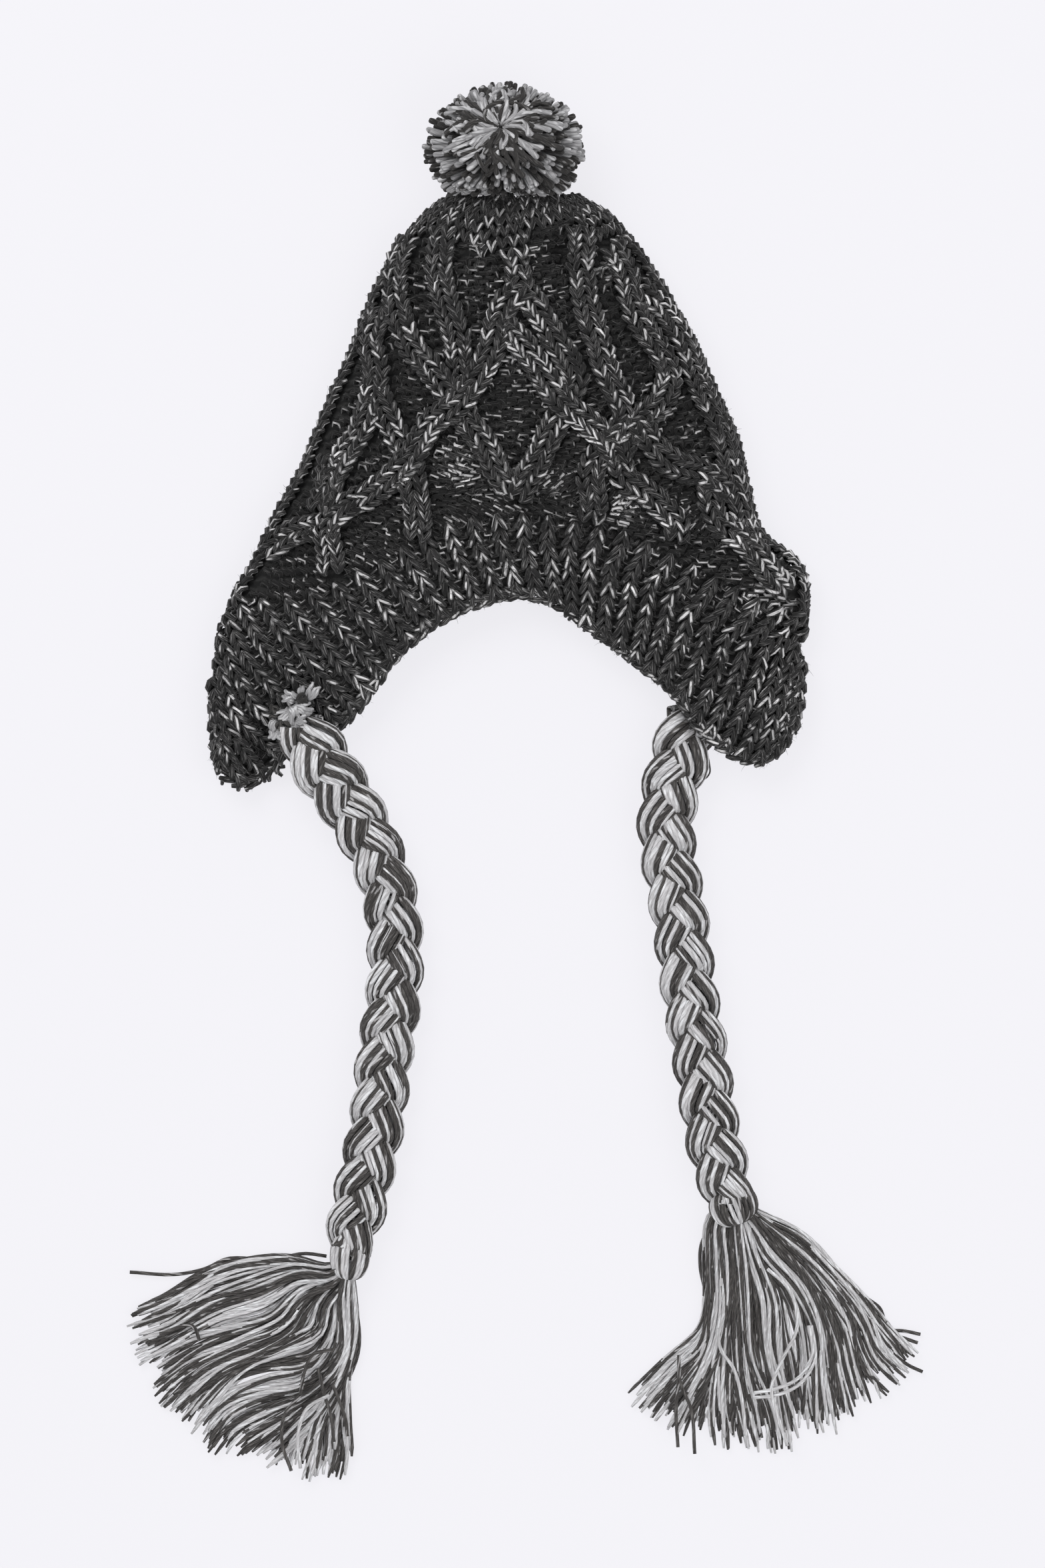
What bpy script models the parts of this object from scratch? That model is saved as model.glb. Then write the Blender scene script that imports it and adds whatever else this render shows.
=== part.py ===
"""A knitted pet hat with ear flaps, a pompom and two braided ties, laid flat.

Metres, +Z up. The hat lies on its back panel. +X runs across the brim and +Y
from the ear flaps to the pompom. The origin is on the surface that the hat
lies on, in the middle of the hat and its pompom.
"""
import math

import bmesh
import bpy
import numpy as np
from mathutils import Vector

# The laid hat
HAT_WIDTH = 0.2262
HAT_LENGTH = 0.2202
CROWN_LOFT = 0.031
BRIM_LOFT = 0.0165
FOLD_THICKNESS = 0.011
CROWN_WALL = 0.004
RIB_WALL = 0.0036
SEAM_GAP = 0.0014
BACK_LIFT = 0.005
BAND_DEPTH = 0.0455

# Relief of the knitting
CABLE_RELIEF = 0.0021
CABLE_REPEATS = 14
CABLE_CROSSINGS = (0.08, 0.37, 0.66, 0.95)
RIB_TOP = 0.15
RIB_RELIEF = 0.0008
RIB_SCALLOP = 0.0006
PLEAT_DEPTH = 0.0012

# The pompom
POMPOM_WIDTH = 0.0608
POMPOM_LENGTH = 0.044
POMPOM_HEIGHT = 0.047
POMPOM_ACROSS = -0.0022
POMPOM_CORE_SHARE = 0.7
# The ball that the locks fill is a little wider than the pompom, as its flat sides and lock tips cut it back
POMPOM_BALL_SHARES = (1.05, 1.08, 1.06)
LOCK_TIP_SHARE = 0.86
LOCK_LENGTH_SPREAD = 0.08
PIECE_GAP = 0.0003

# The braided ties
BRAID_WIDTH = 0.022
BRAID_PERIOD = 0.042
STRAND_WIDTH = 0.0048
STRAND_THICKNESS = 0.0044
STRAND_BULGE = 0.4
STRAND_LIFT = 0.0054
BRAID_START_SHARE = 0.62
BRAID_END_SHARE = 0.74
BRAID_TAPER = 0.018
STRAND_POINTS = 42

# The tassels and the knots
TASSEL_THICKNESS = 0.0125
TASSEL_TIP_THICKNESS = 0.0045
TASSEL_NECK = 0.0085
TASSEL_HEAD_WIDTH = 0.0165
TASSEL_HEAD_GAP = 0.0022
LOCK_NOTCH_LENGTH = 0.78
LOCK_NOTCH_HEIGHT = 0.62
KNOT_WIDTH = 0.021
KNOT_LENGTH = 0.0175
KNOT_HEIGHT = 0.0075
KNOT_CORE_SHARE = 0.75
# Places of the knots on the flaps: along the brim and down the band
LEFT_KNOT_PLACE = (0.13, 0.72)
RIGHT_KNOT_PLACE = (0.807, 0.85)

SEED = 7

# Half of the hat is 1 across, and the hat's length from flap tip to gathered top is 1 up.
# level 0 is the seam with the band and 1 the gathered end, loft is a share of CROWN_LOFT
CROWN_SIDES = (
    # level, left_across, left_up, right_across, right_up, loft
    (0.0, -0.927, 0.319, 0.994, 0.285, 0.80),
    (0.1, -0.849, 0.385, 0.977, 0.364, 0.88),
    (0.2, -0.787, 0.455, 0.845, 0.426, 0.95),
    (0.3, -0.712, 0.523, 0.800, 0.501, 1.00),
    (0.4, -0.654, 0.594, 0.765, 0.582, 1.00),
    (0.5, -0.597, 0.664, 0.698, 0.660, 1.00),
    (0.6, -0.535, 0.735, 0.632, 0.737, 0.97),
    (0.7, -0.482, 0.807, 0.548, 0.819, 0.92),
    (0.8, -0.420, 0.875, 0.460, 0.891, 0.85),
    (0.9, -0.332, 0.946, 0.349, 0.964, 0.76),
    (1.0, -0.239, 0.996, 0.265, 0.996, 0.66),
)
# The line where the crown meets the ribbed band, from the left fold to the right fold
BAND_LINE = (
    # along, across, up
    (0.00, -0.927, 0.319),
    (0.09, -0.739, 0.313),
    (0.17, -0.584, 0.336),
    (0.29, -0.363, 0.395),
    (0.41, -0.142, 0.444),
    (0.49, 0.023, 0.455),
    (0.57, 0.189, 0.444),
    (0.68, 0.410, 0.418),
    (0.80, 0.631, 0.361),
    (0.925, 0.852, 0.304),
    (1.00, 0.994, 0.285),
)
# The free edge of the band, round the left flap, over the brim's arch and round the right flap
BRIM_EDGE = (
    # along, across, up
    (0.000, -0.991, 0.073),
    (0.045, -0.927, 0.011),
    (0.065, -0.868, 0.000),
    (0.085, -0.810, 0.014),
    (0.125, -0.735, 0.064),
    (0.205, -0.540, 0.109),
    (0.297, -0.386, 0.211),
    (0.370, -0.244, 0.274),
    (0.430, -0.120, 0.302),
    (0.490, 0.023, 0.321),
    (0.550, 0.169, 0.302),
    (0.600, 0.256, 0.268),
    (0.667, 0.393, 0.217),
    (0.750, 0.543, 0.153),
    (0.790, 0.620, 0.103),
    (0.840, 0.708, 0.061),
    (0.885, 0.804, 0.040),
    (0.930, 0.885, 0.058),
    (1.000, 0.963, 0.129),
)
# The outer edges of the band at the side folds, from the seam down to the flap's corner
FLAP_SIDES = (
    # down, left_across, left_up, right_across, right_up
    (0.00, -0.927, 0.319, 0.994, 0.285),
    (0.19, -0.960, 0.274, 0.989, 0.258),
    (0.33, -0.978, 0.241, 0.958, 0.240),
    (0.49, -0.980, 0.200, 0.978, 0.213),
    (0.65, -1.000, 0.160, 0.980, 0.186),
    (0.80, -0.990, 0.125, 0.974, 0.160),
    (1.00, -0.991, 0.073, 0.963, 0.129),
)
# Dents and swells of the front layer, heights as shares of BRIM_LOFT
FOLDS = (
    # along, down, half_along, half_down, height
    (0.085, 0.95, 0.022, 0.30, -0.26),
    (0.035, 0.80, 0.030, 0.30, 0.10),
    (0.170, 1.00, 0.050, 0.22, -0.20),
    (0.785, 1.00, 0.060, 0.35, 0.32),
    (0.900, 0.80, 0.040, 0.35, 0.16),
    (0.940, 0.50, 0.045, 0.18, -0.14),
    (0.920, -0.12, 0.070, 0.25, 0.18),
)
LEFT_FLAP_END = 0.205
RIGHT_FLAP_START = 0.740

# The routes of the two ties, chosen by hand, in metres: knot end first
LEFT_ROUTE = (
    (-0.0781, -0.1095, 0.0172),
    (-0.0742, -0.1175, 0.0178),
    (-0.0690, -0.1262, 0.0172),
    (-0.0630, -0.1347, 0.0152),
    (-0.0574, -0.1438, 0.0122),
    (-0.0519, -0.1540, 0.0098),
    (-0.0471, -0.1658, 0.0086),
    (-0.0440, -0.1783, 0.0084),
    (-0.0427, -0.1908, 0.0084),
    (-0.0428, -0.2033, 0.0084),
    (-0.0439, -0.2158, 0.0084),
    (-0.0458, -0.2283, 0.0084),
    (-0.0475, -0.2408, 0.0084),
    (-0.0488, -0.2533, 0.0084),
    (-0.0509, -0.2658, 0.0084),
    (-0.0536, -0.2783, 0.0084),
    (-0.0566, -0.2908, 0.0084),
    (-0.0590, -0.3000, 0.0084),
    (-0.0604, -0.3075, 0.0084),
)
RIGHT_ROUTE = (
    (0.0690, -0.1065, 0.0064),
    (0.0662, -0.1130, 0.0076),
    (0.0639, -0.1220, 0.0082),
    (0.0609, -0.1320, 0.0084),
    (0.0589, -0.1420, 0.0084),
    (0.0587, -0.1520, 0.0084),
    (0.0598, -0.1610, 0.0084),
    (0.0619, -0.1720, 0.0084),
    (0.0640, -0.1845, 0.0084),
    (0.0655, -0.1970, 0.0084),
    (0.0672, -0.2095, 0.0084),
    (0.0693, -0.2220, 0.0084),
    (0.0714, -0.2345, 0.0084),
    (0.0734, -0.2470, 0.0084),
    (0.0753, -0.2595, 0.0084),
    (0.0780, -0.2720, 0.0084),
    (0.0815, -0.2840, 0.0084),
    (0.0838, -0.2895, 0.0084),
)
# The locks of each tassel: direction in degrees from +X, and length in metres
LEFT_TASSEL = (
    # heading, length
    (190, 0.079),
    (197, 0.081),
    (204, 0.083),
    (211, 0.082),
    (218, 0.085),
    (225, 0.081),
    (232, 0.083),
    (239, 0.086),
    (246, 0.083),
    (253, 0.085),
    (260, 0.085),
    (267, 0.080),
    (274, 0.076),
)
RIGHT_TASSEL = (
    # heading, length
    (237, 0.082),
    (244, 0.084),
    (251, 0.081),
    (258, 0.086),
    (265, 0.089),
    (272, 0.090),
    (279, 0.090),
    (286, 0.088),
    (293, 0.090),
    (300, 0.089),
    (307, 0.092),
    (314, 0.088),
    (321, 0.083),
)
# Where the locks of a tassel spread from, past the end of its tie
LEFT_TASSEL_SHIFT = (-0.0036, -0.0045)
RIGHT_TASSEL_SHIFT = (0.0027, -0.0060)

OVERALL_LENGTH = HAT_LENGTH + PIECE_GAP + POMPOM_LENGTH
HALF_WIDTH = HAT_WIDTH / 2
FLAP_TIP_Y = -OVERALL_LENGTH / 2
CROWN_TOP_Y = FLAP_TIP_Y + HAT_LENGTH


def smooth(rows, column, at):
    """Read one column of a table on a smooth curve through its rows."""
    table = np.array(rows, dtype=float)
    knots = table[:, 0]
    values = table[:, column]
    slopes = np.gradient(values, knots)
    at = np.clip(at, knots[0], knots[-1])
    cell = np.clip(np.searchsorted(knots, at, side="right") - 1, 0, len(knots) - 2)
    width = knots[cell + 1] - knots[cell]
    t = (at - knots[cell]) / width
    rise = t * t * (3 - 2 * t)
    start = values[cell] + (values[cell + 1] - values[cell]) * rise
    lean_in = slopes[cell] * width * t * (1 - t) ** 2
    lean_out = slopes[cell + 1] * width * t * t * (t - 1)
    return start + lean_in + lean_out


def side_points(rows, at):
    """Left and right points of a table of side rows, as shares."""
    left = np.stack([smooth(rows, 1, at), smooth(rows, 2, at)], axis=-1)
    right = np.stack([smooth(rows, 3, at), smooth(rows, 4, at)], axis=-1)
    return left, right


def edge_points(rows, along):
    """Points of a table of edge rows, as shares."""
    return np.stack([smooth(rows, 1, along), smooth(rows, 2, along)], axis=-1)


def plan_point(along, level):
    """Place on the laid hat seen from above, as shares.

    Level runs from -1 at the free edge over 0 at the seam to 1 at the gathered end.
    """
    down = np.clip(-level, 0, 1)
    up = np.clip(level, 0, 1)
    along_column = along[..., None]
    line = edge_points(BAND_LINE, along)
    line_left = np.array(BAND_LINE[0][1:])
    line_right = np.array(BAND_LINE[-1][1:])
    bow = line - (line_left + (line_right - line_left) * along_column)
    left, right = side_points(CROWN_SIDES, up)
    fade = ((1 - up) ** 2.6)[..., None]
    crown = left + (right - left) * along_column + bow * fade
    brim = edge_points(BRIM_EDGE, along)
    flap_left, flap_right = side_points(FLAP_SIDES, down)
    down_column = down[..., None]
    band = line + (brim - line) * down_column
    brim_left = np.array(BRIM_EDGE[0][1:])
    brim_right = np.array(BRIM_EDGE[-1][1:])
    left_swell = flap_left - (line_left + (brim_left - line_left) * down_column)
    right_swell = flap_right - (line_right + (brim_right - line_right) * down_column)
    band = band + left_swell * (1 - along_column) ** 2 + right_swell * along_column ** 2
    return np.where((level < 0)[..., None], band, crown)


def front_height(along, level):
    """Height of the front layer's outer face over the surface."""
    up = np.clip(level, 0, 1)
    down = np.clip(-level, 0, 1)
    seam_loft = CROWN_LOFT * CROWN_SIDES[0][5]
    crown_loft = CROWN_LOFT * smooth(CROWN_SIDES, 5, up)
    loft = np.where(level < 0, seam_loft + (BRIM_LOFT - seam_loft) * down, crown_loft)
    dome = 1 - np.abs(2 * along - 1) ** 2.2
    swell = np.zeros_like(along)
    for fold_along, fold_down, half_along, half_down, height in FOLDS:
        reach = ((along - fold_along) / half_along) ** 2 + ((-level - fold_down) / half_down) ** 2
        swell = swell + height * BRIM_LOFT * np.exp(-reach)
    return FOLD_THICKNESS + np.maximum(loft - FOLD_THICKNESS, 0) * dome + swell


def hat_point(along, level, front):
    """Outer face of the hat, front layer or back layer."""
    along = np.asarray(along, dtype=float)
    level = np.asarray(level, dtype=float) + np.zeros_like(along)
    plan = plan_point(along, level)
    left = plan_point(np.zeros_like(along), level)
    right = plan_point(np.ones_like(along), level)
    width = (right - left)[..., 0] * HALF_WIDTH
    from_fold = np.minimum(along, 1 - along) * width
    radius = FOLD_THICKNESS / 2
    turn = np.sqrt(1 - (1 - np.clip(from_fold / radius, 0, 1)) ** 2)
    x = plan[..., 0] * HALF_WIDTH
    y = FLAP_TIP_Y + plan[..., 1] * HAT_LENGTH
    if front:
        z = radius + (front_height(along, level) - radius) * turn
    else:
        z = radius - radius * turn
        y = y + BACK_LIFT * np.clip(-level, 0, 1) * (1 - np.abs(2 * along - 1) ** 8)
    return np.stack([x, y, z], axis=-1)


def eased(steps):
    """Even steps from 0 to 1 that crowd together at both ends, where the knit folds."""
    t = np.linspace(0, 1, steps + 1)
    return t - 0.35 * np.sin(2 * math.pi * t) / (2 * math.pi)


def cable_ridge(turn, level):
    """Height share of the crossing cables, 1 on a cable and 0 between cables."""
    crossing_step = CABLE_CROSSINGS[1] - CABLE_CROSSINGS[0]
    sway = (level - CABLE_CROSSINGS[0]) / crossing_step / 2
    phase = turn * CABLE_REPEATS - 0.5
    ridge = np.zeros_like(turn)
    if level >= CABLE_CROSSINGS[0] / 2:
        for lean in (1, -1):
            aside = np.abs((phase + lean * sway + 0.5) % 1 - 0.5)
            ridge = np.maximum(ridge, 1 - 4 * aside)
    if level < RIB_TOP:
        aside = np.abs((phase / 2 + 0.5) % 1 - 0.5) * 2
        ridge = np.maximum(ridge, 1 - 4 * aside)
    return np.clip(ridge, 0, 1)


def new_mesh_object(name, verts, faces, collection, material, location=(0, 0, 0)):
    """Mesh object with its faces turned outward."""
    mesh = bpy.data.meshes.new(name)
    mesh.from_pydata([tuple(v) for v in verts], [], faces)
    mesh.materials.append(material)
    mesh.validate()
    work = bmesh.new()
    work.from_mesh(mesh)
    bmesh.ops.recalc_face_normals(work, faces=work.faces)
    work.to_mesh(mesh)
    work.free()
    obj = bpy.data.objects.new(name, mesh)
    obj.location = location
    collection.objects.link(obj)
    return obj


def face_outward(obj, seed_point, direction):
    """Flip all the faces of an open sheet whose face nearest to a point looks the other way."""
    mesh = obj.data
    nearest = min(mesh.polygons, key=lambda face: (face.center - Vector(seed_point)).length)
    if nearest.normal.dot(Vector(direction)) < 0:
        mesh.flip_normals()


def add_wall(obj, thickness):
    """Thicken an open sheet inward."""
    wall = obj.modifiers.new("wall", "SOLIDIFY")
    wall.thickness = thickness
    wall.offset = -1
    wall.use_rim = True


def smooth_shading(obj, angle=50):
    """Round pieces are shaded smooth, with crisp rims."""
    obj.data.shade_smooth()
    obj.data.set_sharp_from_angle(angle=math.radians(angle))


def grid_faces(rows, columns, closed):
    """Quads of a grid of points, row by row."""
    faces = []
    last = columns if closed else columns - 1
    for row in range(rows - 1):
        for column in range(last):
            beside = (column + 1) % columns
            low = row * columns
            high = low + columns
            faces.append((low + column, low + beside, high + beside, high + column))
    return faces


def outward_normals(points_of, along, level, front):
    """Unit normals of the hat's outer face from small steps along it."""
    step = 0.004
    after = points_of(np.clip(along + step, 0, 1), level, front)
    before = points_of(np.clip(along - step, 0, 1), level, front)
    above = points_of(along, level + step, front)
    under = points_of(along, level - step, front)
    run = after - before
    rise = above - under
    normal = np.cross(run, rise)
    if not front:
        normal = -normal
    size = np.linalg.norm(normal, axis=-1, keepdims=True)
    return normal / np.maximum(size, 1e-12)


def raised(along, level, front, relief):
    """Outer face lifted by the relief of the knitting, and never below the surface."""
    points = hat_point(along, level, front)
    points = points + outward_normals(hat_point, along, level, front) * relief[..., None]
    points[..., 2] = np.maximum(points[..., 2], 0)
    if not front:
        flat = hat_point(along, level, front)[..., 2] <= 0
        points[..., 2] = np.where(flat, 0, points[..., 2])
    return points


def build_crown(collection, material):
    """Cable-knit crown: an open bag, gathered shut under the pompom."""
    half = 2 * CABLE_REPEATS
    step = (CABLE_CROSSINGS[1] - CABLE_CROSSINGS[0]) / 4
    crown_length = HAT_LENGTH * (1 - max(row[2] for row in BAND_LINE))
    start = SEAM_GAP / 2 / crown_length * 1.25
    levels = [start, CABLE_CROSSINGS[0] / 2]
    levels += list(np.arange(CABLE_CROSSINGS[0], CABLE_CROSSINGS[-1] + step / 2, step))
    levels.append(1.0)
    alongs = eased(half)
    front_turn = np.linspace(0, 0.5, half + 1)[:-1]
    back_turn = 0.5 + front_turn
    rings = []
    for level in levels:
        fade = min(1.0, level * 8, (1 - level) * 6)
        front_relief = CABLE_RELIEF * fade * cable_ridge(front_turn, level)
        back_relief = CABLE_RELIEF * fade * cable_ridge(back_turn, level)
        front = raised(alongs[:-1], np.full(half, level), True, front_relief)
        back = raised(alongs[::-1][:-1], np.full(half, level), False, back_relief)
        rings.append(np.concatenate([front, back]))
    rim = rings[-1]
    pole = np.array([rim[:, 0].mean(), CROWN_TOP_Y, rim[:, 2].mean()])
    turn = np.arange(2 * half)
    pleat = np.where(turn % 2 == 0, 0.0, PLEAT_DEPTH)
    for share in (0.3, 0.68):
        ring = rim + (pole - rim) * share
        ring[:, 1] = CROWN_TOP_Y - pleat * (1 - share)
        rings.append(ring)
    verts = np.concatenate(rings)
    count = 2 * half
    faces = grid_faces(len(rings), count, True)
    verts = np.concatenate([verts, pole[None]])
    top = (len(rings) - 1) * count
    for column in range(count):
        faces.append((top + column, top + (column + 1) % count, len(verts) - 1))
    obj = new_mesh_object("crown", verts, faces, collection, material)
    face_outward(obj, (0, 0, CROWN_LOFT), (0, 0, 1))
    add_wall(obj, CROWN_WALL)
    smooth_shading(obj)
    return obj


def rib_sheet(alongs, fronts, rows):
    """Points of a piece of the ribbed band: alternate columns stand proud as ribs."""
    start = SEAM_GAP / 2 / BAND_DEPTH
    sheet = []
    for down in np.linspace(start, 1, rows + 1):
        columns = []
        for column, (along, front) in enumerate(zip(alongs, fronts)):
            inside = 1 < column < len(alongs) - 2
            high = 1 if inside and column % 2 == 0 else -1
            at = np.array([along])
            level = np.array([-down])
            point = raised(at, level, front, np.array([RIB_RELIEF * high]))[0]
            if down > 0.99:
                point[1] += RIB_SCALLOP * (1 - high)
            columns.append(point)
        sheet.append(columns)
    return np.array(sheet)


def build_rib_piece(name, alongs, fronts, look_from, look, collection, material):
    """One piece of the ribbed band or a flap, as a bent sheet with a wall."""
    rows = 4
    sheet = rib_sheet(alongs, fronts, rows)
    count = sheet.shape[1]
    faces = grid_faces(rows + 1, count, False)
    obj = new_mesh_object(name, sheet.reshape(-1, 3), faces, collection, material)
    face_outward(obj, look_from, look)
    add_wall(obj, RIB_WALL)
    smooth_shading(obj, 70)
    return obj


def build_band(collection, material):
    """Band round the brim between the ear flaps, and the two ear flaps folded at the sides."""
    seam = SEAM_GAP / 2 / HAT_WIDTH
    between = np.linspace(LEFT_FLAP_END + seam, RIGHT_FLAP_START - seam, 37)
    half = CROWN_LOFT * CROWN_SIDES[0][5]
    middle = (0, FLAP_TIP_Y + 0.39 * HAT_LENGTH, half)
    build_rib_piece("rib_band_front", between, [True] * 37, middle, (0, 0, 1), collection, material)
    below = (0, FLAP_TIP_Y + 0.39 * HAT_LENGTH, 0)
    behind = np.linspace(LEFT_FLAP_END + seam, RIGHT_FLAP_START - seam, 25)
    build_rib_piece("rib_band_back", behind, [False] * 25, below, (0, 0, -1), collection, material)
    reach = LEFT_FLAP_END - seam
    shares = np.array([1.0, 0.86, 0.73, 0.61, 0.50, 0.40, 0.31, 0.23, 0.16, 0.10, 0.05, 0.018])
    alongs = np.concatenate([shares * reach, [0.0], shares[::-1] * reach])
    fronts = [True] * 13 + [False] * 12
    low = (-0.7 * HALF_WIDTH, FLAP_TIP_Y + 0.25 * HAT_LENGTH, FOLD_THICKNESS)
    build_rib_piece("ear_flap_left", alongs, fronts, low, (0, 0, 1), collection, material)
    reach = 1 - RIGHT_FLAP_START - seam
    alongs = 1 - np.concatenate([shares * reach, [0.0], shares[::-1] * reach])
    low = (0.7 * HALF_WIDTH, FLAP_TIP_Y + 0.25 * HAT_LENGTH, FOLD_THICKNESS)
    build_rib_piece("ear_flap_right", alongs, fronts, low, (0, 0, 1), collection, material)


def lock_ball(name, subdivisions, core_share, reach_of, centre, collection, material, seed):
    """Ball of locks: every face of a core is drawn out along its radius to the outer form."""
    rng = np.random.default_rng(seed)
    work = bmesh.new()
    bmesh.ops.create_icosphere(work, subdivisions=subdivisions, radius=1.0)
    for vert in work.verts:
        vert.co = vert.co * reach_of(vert.co) * core_share
    roots = list(work.faces)
    bmesh.ops.inset_individual(work, faces=roots, thickness=0.0)
    for face in roots:
        middle = face.calc_center_median()
        length = 1 - LOCK_LENGTH_SPREAD * rng.random()
        for vert in face.verts:
            vert.co = middle + (vert.co - middle) * LOCK_TIP_SHARE
            direction = vert.co.normalized()
            vert.co = direction * reach_of(direction) * length
    mesh = bpy.data.meshes.new(name)
    bmesh.ops.recalc_face_normals(work, faces=work.faces)
    work.to_mesh(mesh)
    work.free()
    mesh.materials.append(material)
    obj = bpy.data.objects.new(name, mesh)
    obj.location = centre
    collection.objects.link(obj)
    return obj


def squashed_ball(width, length, height, low, back):
    """Reach of an oval ball from its centre, cut flat under it and behind it."""
    def reach(direction):
        d = direction.normalized()
        oval = 1 / math.sqrt((2 * d.x / width) ** 2 + (2 * d.y / length) ** 2 + (2 * d.z / height) ** 2)
        if d.z < 0:
            oval = min(oval, low / -d.z)
        if d.y < 0:
            oval = min(oval, back / -d.y)
        return oval
    return reach


def build_pompom(collection, material):
    """Pompom of cut yarn, resting on the surface against the gathered top."""
    ball_width = POMPOM_WIDTH * POMPOM_BALL_SHARES[0]
    ball_length = POMPOM_LENGTH * POMPOM_BALL_SHARES[1]
    ball_height = POMPOM_HEIGHT * POMPOM_BALL_SHARES[2]
    back = POMPOM_LENGTH - ball_length / 2
    low = POMPOM_HEIGHT / 2
    centre = (POMPOM_ACROSS, CROWN_TOP_Y + PIECE_GAP + back, low)
    reach = squashed_ball(ball_width, ball_length, ball_height, low, back)
    return lock_ball("pompom", 3, POMPOM_CORE_SHARE, reach, centre, collection, material, SEED)


def build_knot(name, place, front, collection, material, seed):
    """Knot of short yarn ends, on top of the left flap or inside the right one."""
    along = np.array([place[0]])
    level = np.array([-place[1]])
    centre = hat_point(along, level, front)[0]
    under = 0 if front else RIB_WALL
    centre[2] = centre[2] + under + PIECE_GAP + KNOT_HEIGHT / 2
    reach = squashed_ball(KNOT_WIDTH, KNOT_LENGTH, KNOT_HEIGHT, KNOT_HEIGHT / 2, KNOT_LENGTH)
    return lock_ball(name, 1, KNOT_CORE_SHARE, reach, centre, collection, material, seed)


def curve_through(points, count):
    """Even points on a smooth curve through the route's points."""
    route = np.array(points)
    steps = np.concatenate([[0], np.cumsum(np.linalg.norm(np.diff(route, axis=0), axis=1))])
    rows = np.column_stack([steps, route])
    at = np.linspace(0, steps[-1], count)
    return np.stack([smooth(rows, column, at) for column in (1, 2, 3)], axis=-1), steps[-1]


def strand_centres(route, index, count):
    """Centre line of one strand: it weaves across the route and dips under at the middle."""
    centres, length = curve_through(route, count)
    tangent = np.gradient(centres, axis=0)
    tangent[:, 2] = 0
    tangent = tangent / np.linalg.norm(tangent, axis=1, keepdims=True)
    aside = np.stack([-tangent[:, 1], tangent[:, 0], np.zeros(count)], axis=-1)
    run = np.linspace(0, length, count)
    start = np.clip(run / BRAID_TAPER, 0, 1)
    end = np.clip((length - run) / BRAID_TAPER, 0, 1)
    spread = BRAID_START_SHARE + (1 - BRAID_START_SHARE) * start * start * (3 - 2 * start)
    spread = spread * (BRAID_END_SHARE + (1 - BRAID_END_SHARE) * end * end * (3 - 2 * end))
    phase = 2 * math.pi * (run / BRAID_PERIOD + index / 3)
    sway = (BRAID_WIDTH - STRAND_WIDTH * (1 + STRAND_BULGE)) / 2
    centres = centres + aside * (sway * spread * np.sin(phase))[:, None]
    centres[:, 2] = centres[:, 2] - STRAND_LIFT * spread * np.sin(2 * phase)
    girth = spread * (1 + STRAND_BULGE * np.sin(phase) ** 2)
    return centres, girth


def build_braid(side, route, collection, material):
    """Tie of three interlaced strands, each a bundle of yarns pressed to a flat oval."""
    press = STRAND_THICKNESS / STRAND_WIDTH
    for index, name in enumerate(("a", "b", "c")):
        centres, girth = strand_centres(route, index, STRAND_POINTS)
        curve = bpy.data.curves.new("braid_" + side + "_" + name, "CURVE")
        curve.dimensions = "3D"
        curve.bevel_depth = STRAND_WIDTH / 2
        curve.bevel_resolution = 2
        curve.use_fill_caps = True
        spline = curve.splines.new("POLY")
        spline.points.add(STRAND_POINTS - 1)
        for point, centre, share in zip(spline.points, centres, girth):
            point.co = (centre[0], centre[1], centre[2] / press, 1)
            point.radius = share
        curve.materials.append(material)
        obj = bpy.data.objects.new(curve.name, curve)
        obj.scale = (1, 1, press)
        collection.objects.link(obj)


def tassel_columns(locks):
    """Heading, length and height of every column of a fan: the locks and the notches between them."""
    columns = []
    for index, (heading, length) in enumerate(locks):
        columns.append((math.radians(heading), length, 1.0))
        if index < len(locks) - 1:
            following = locks[index + 1]
            middle = math.radians((heading + following[0]) / 2)
            notch = min(length, following[1]) * LOCK_NOTCH_LENGTH
            columns.append((middle, notch, LOCK_NOTCH_HEIGHT))
    return columns


def tassel_rows(route, shift, locks):
    """Top points of a fan, row by row, from the head across the tie's end to the lock tips."""
    end = Vector(route[-1][:2])
    heading = (end - Vector(route[-2][:2])).normalized()
    aside = Vector((-heading.y, heading.x))
    head = end + heading * TASSEL_HEAD_GAP
    spread = end + Vector(shift)
    columns = tassel_columns(locks)
    rows = [[]]
    for index in range(len(columns)):
        share = index / (len(columns) - 1) - 0.5
        place = head + aside * (share * TASSEL_HEAD_WIDTH)
        rows[0].append((place.x, place.y, TASSEL_THICKNESS * math.sqrt(1 - 2.4 * share * share)))
    for share in (0.0, 0.12, 0.3, 0.52, 0.76, 1.0):
        depth = TASSEL_THICKNESS + (TASSEL_TIP_THICKNESS - TASSEL_THICKNESS) * min(1, share * 1.3)
        row = []
        for angle, length, height in columns:
            reach = TASSEL_NECK + (length - TASSEL_NECK) * share
            parted = 1 - (1 - height) * min(1, share * 2)
            place = spread + Vector((math.cos(angle), math.sin(angle))) * reach
            row.append((place.x, place.y, depth * parted))
        rows.append(row)
    return rows


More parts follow.
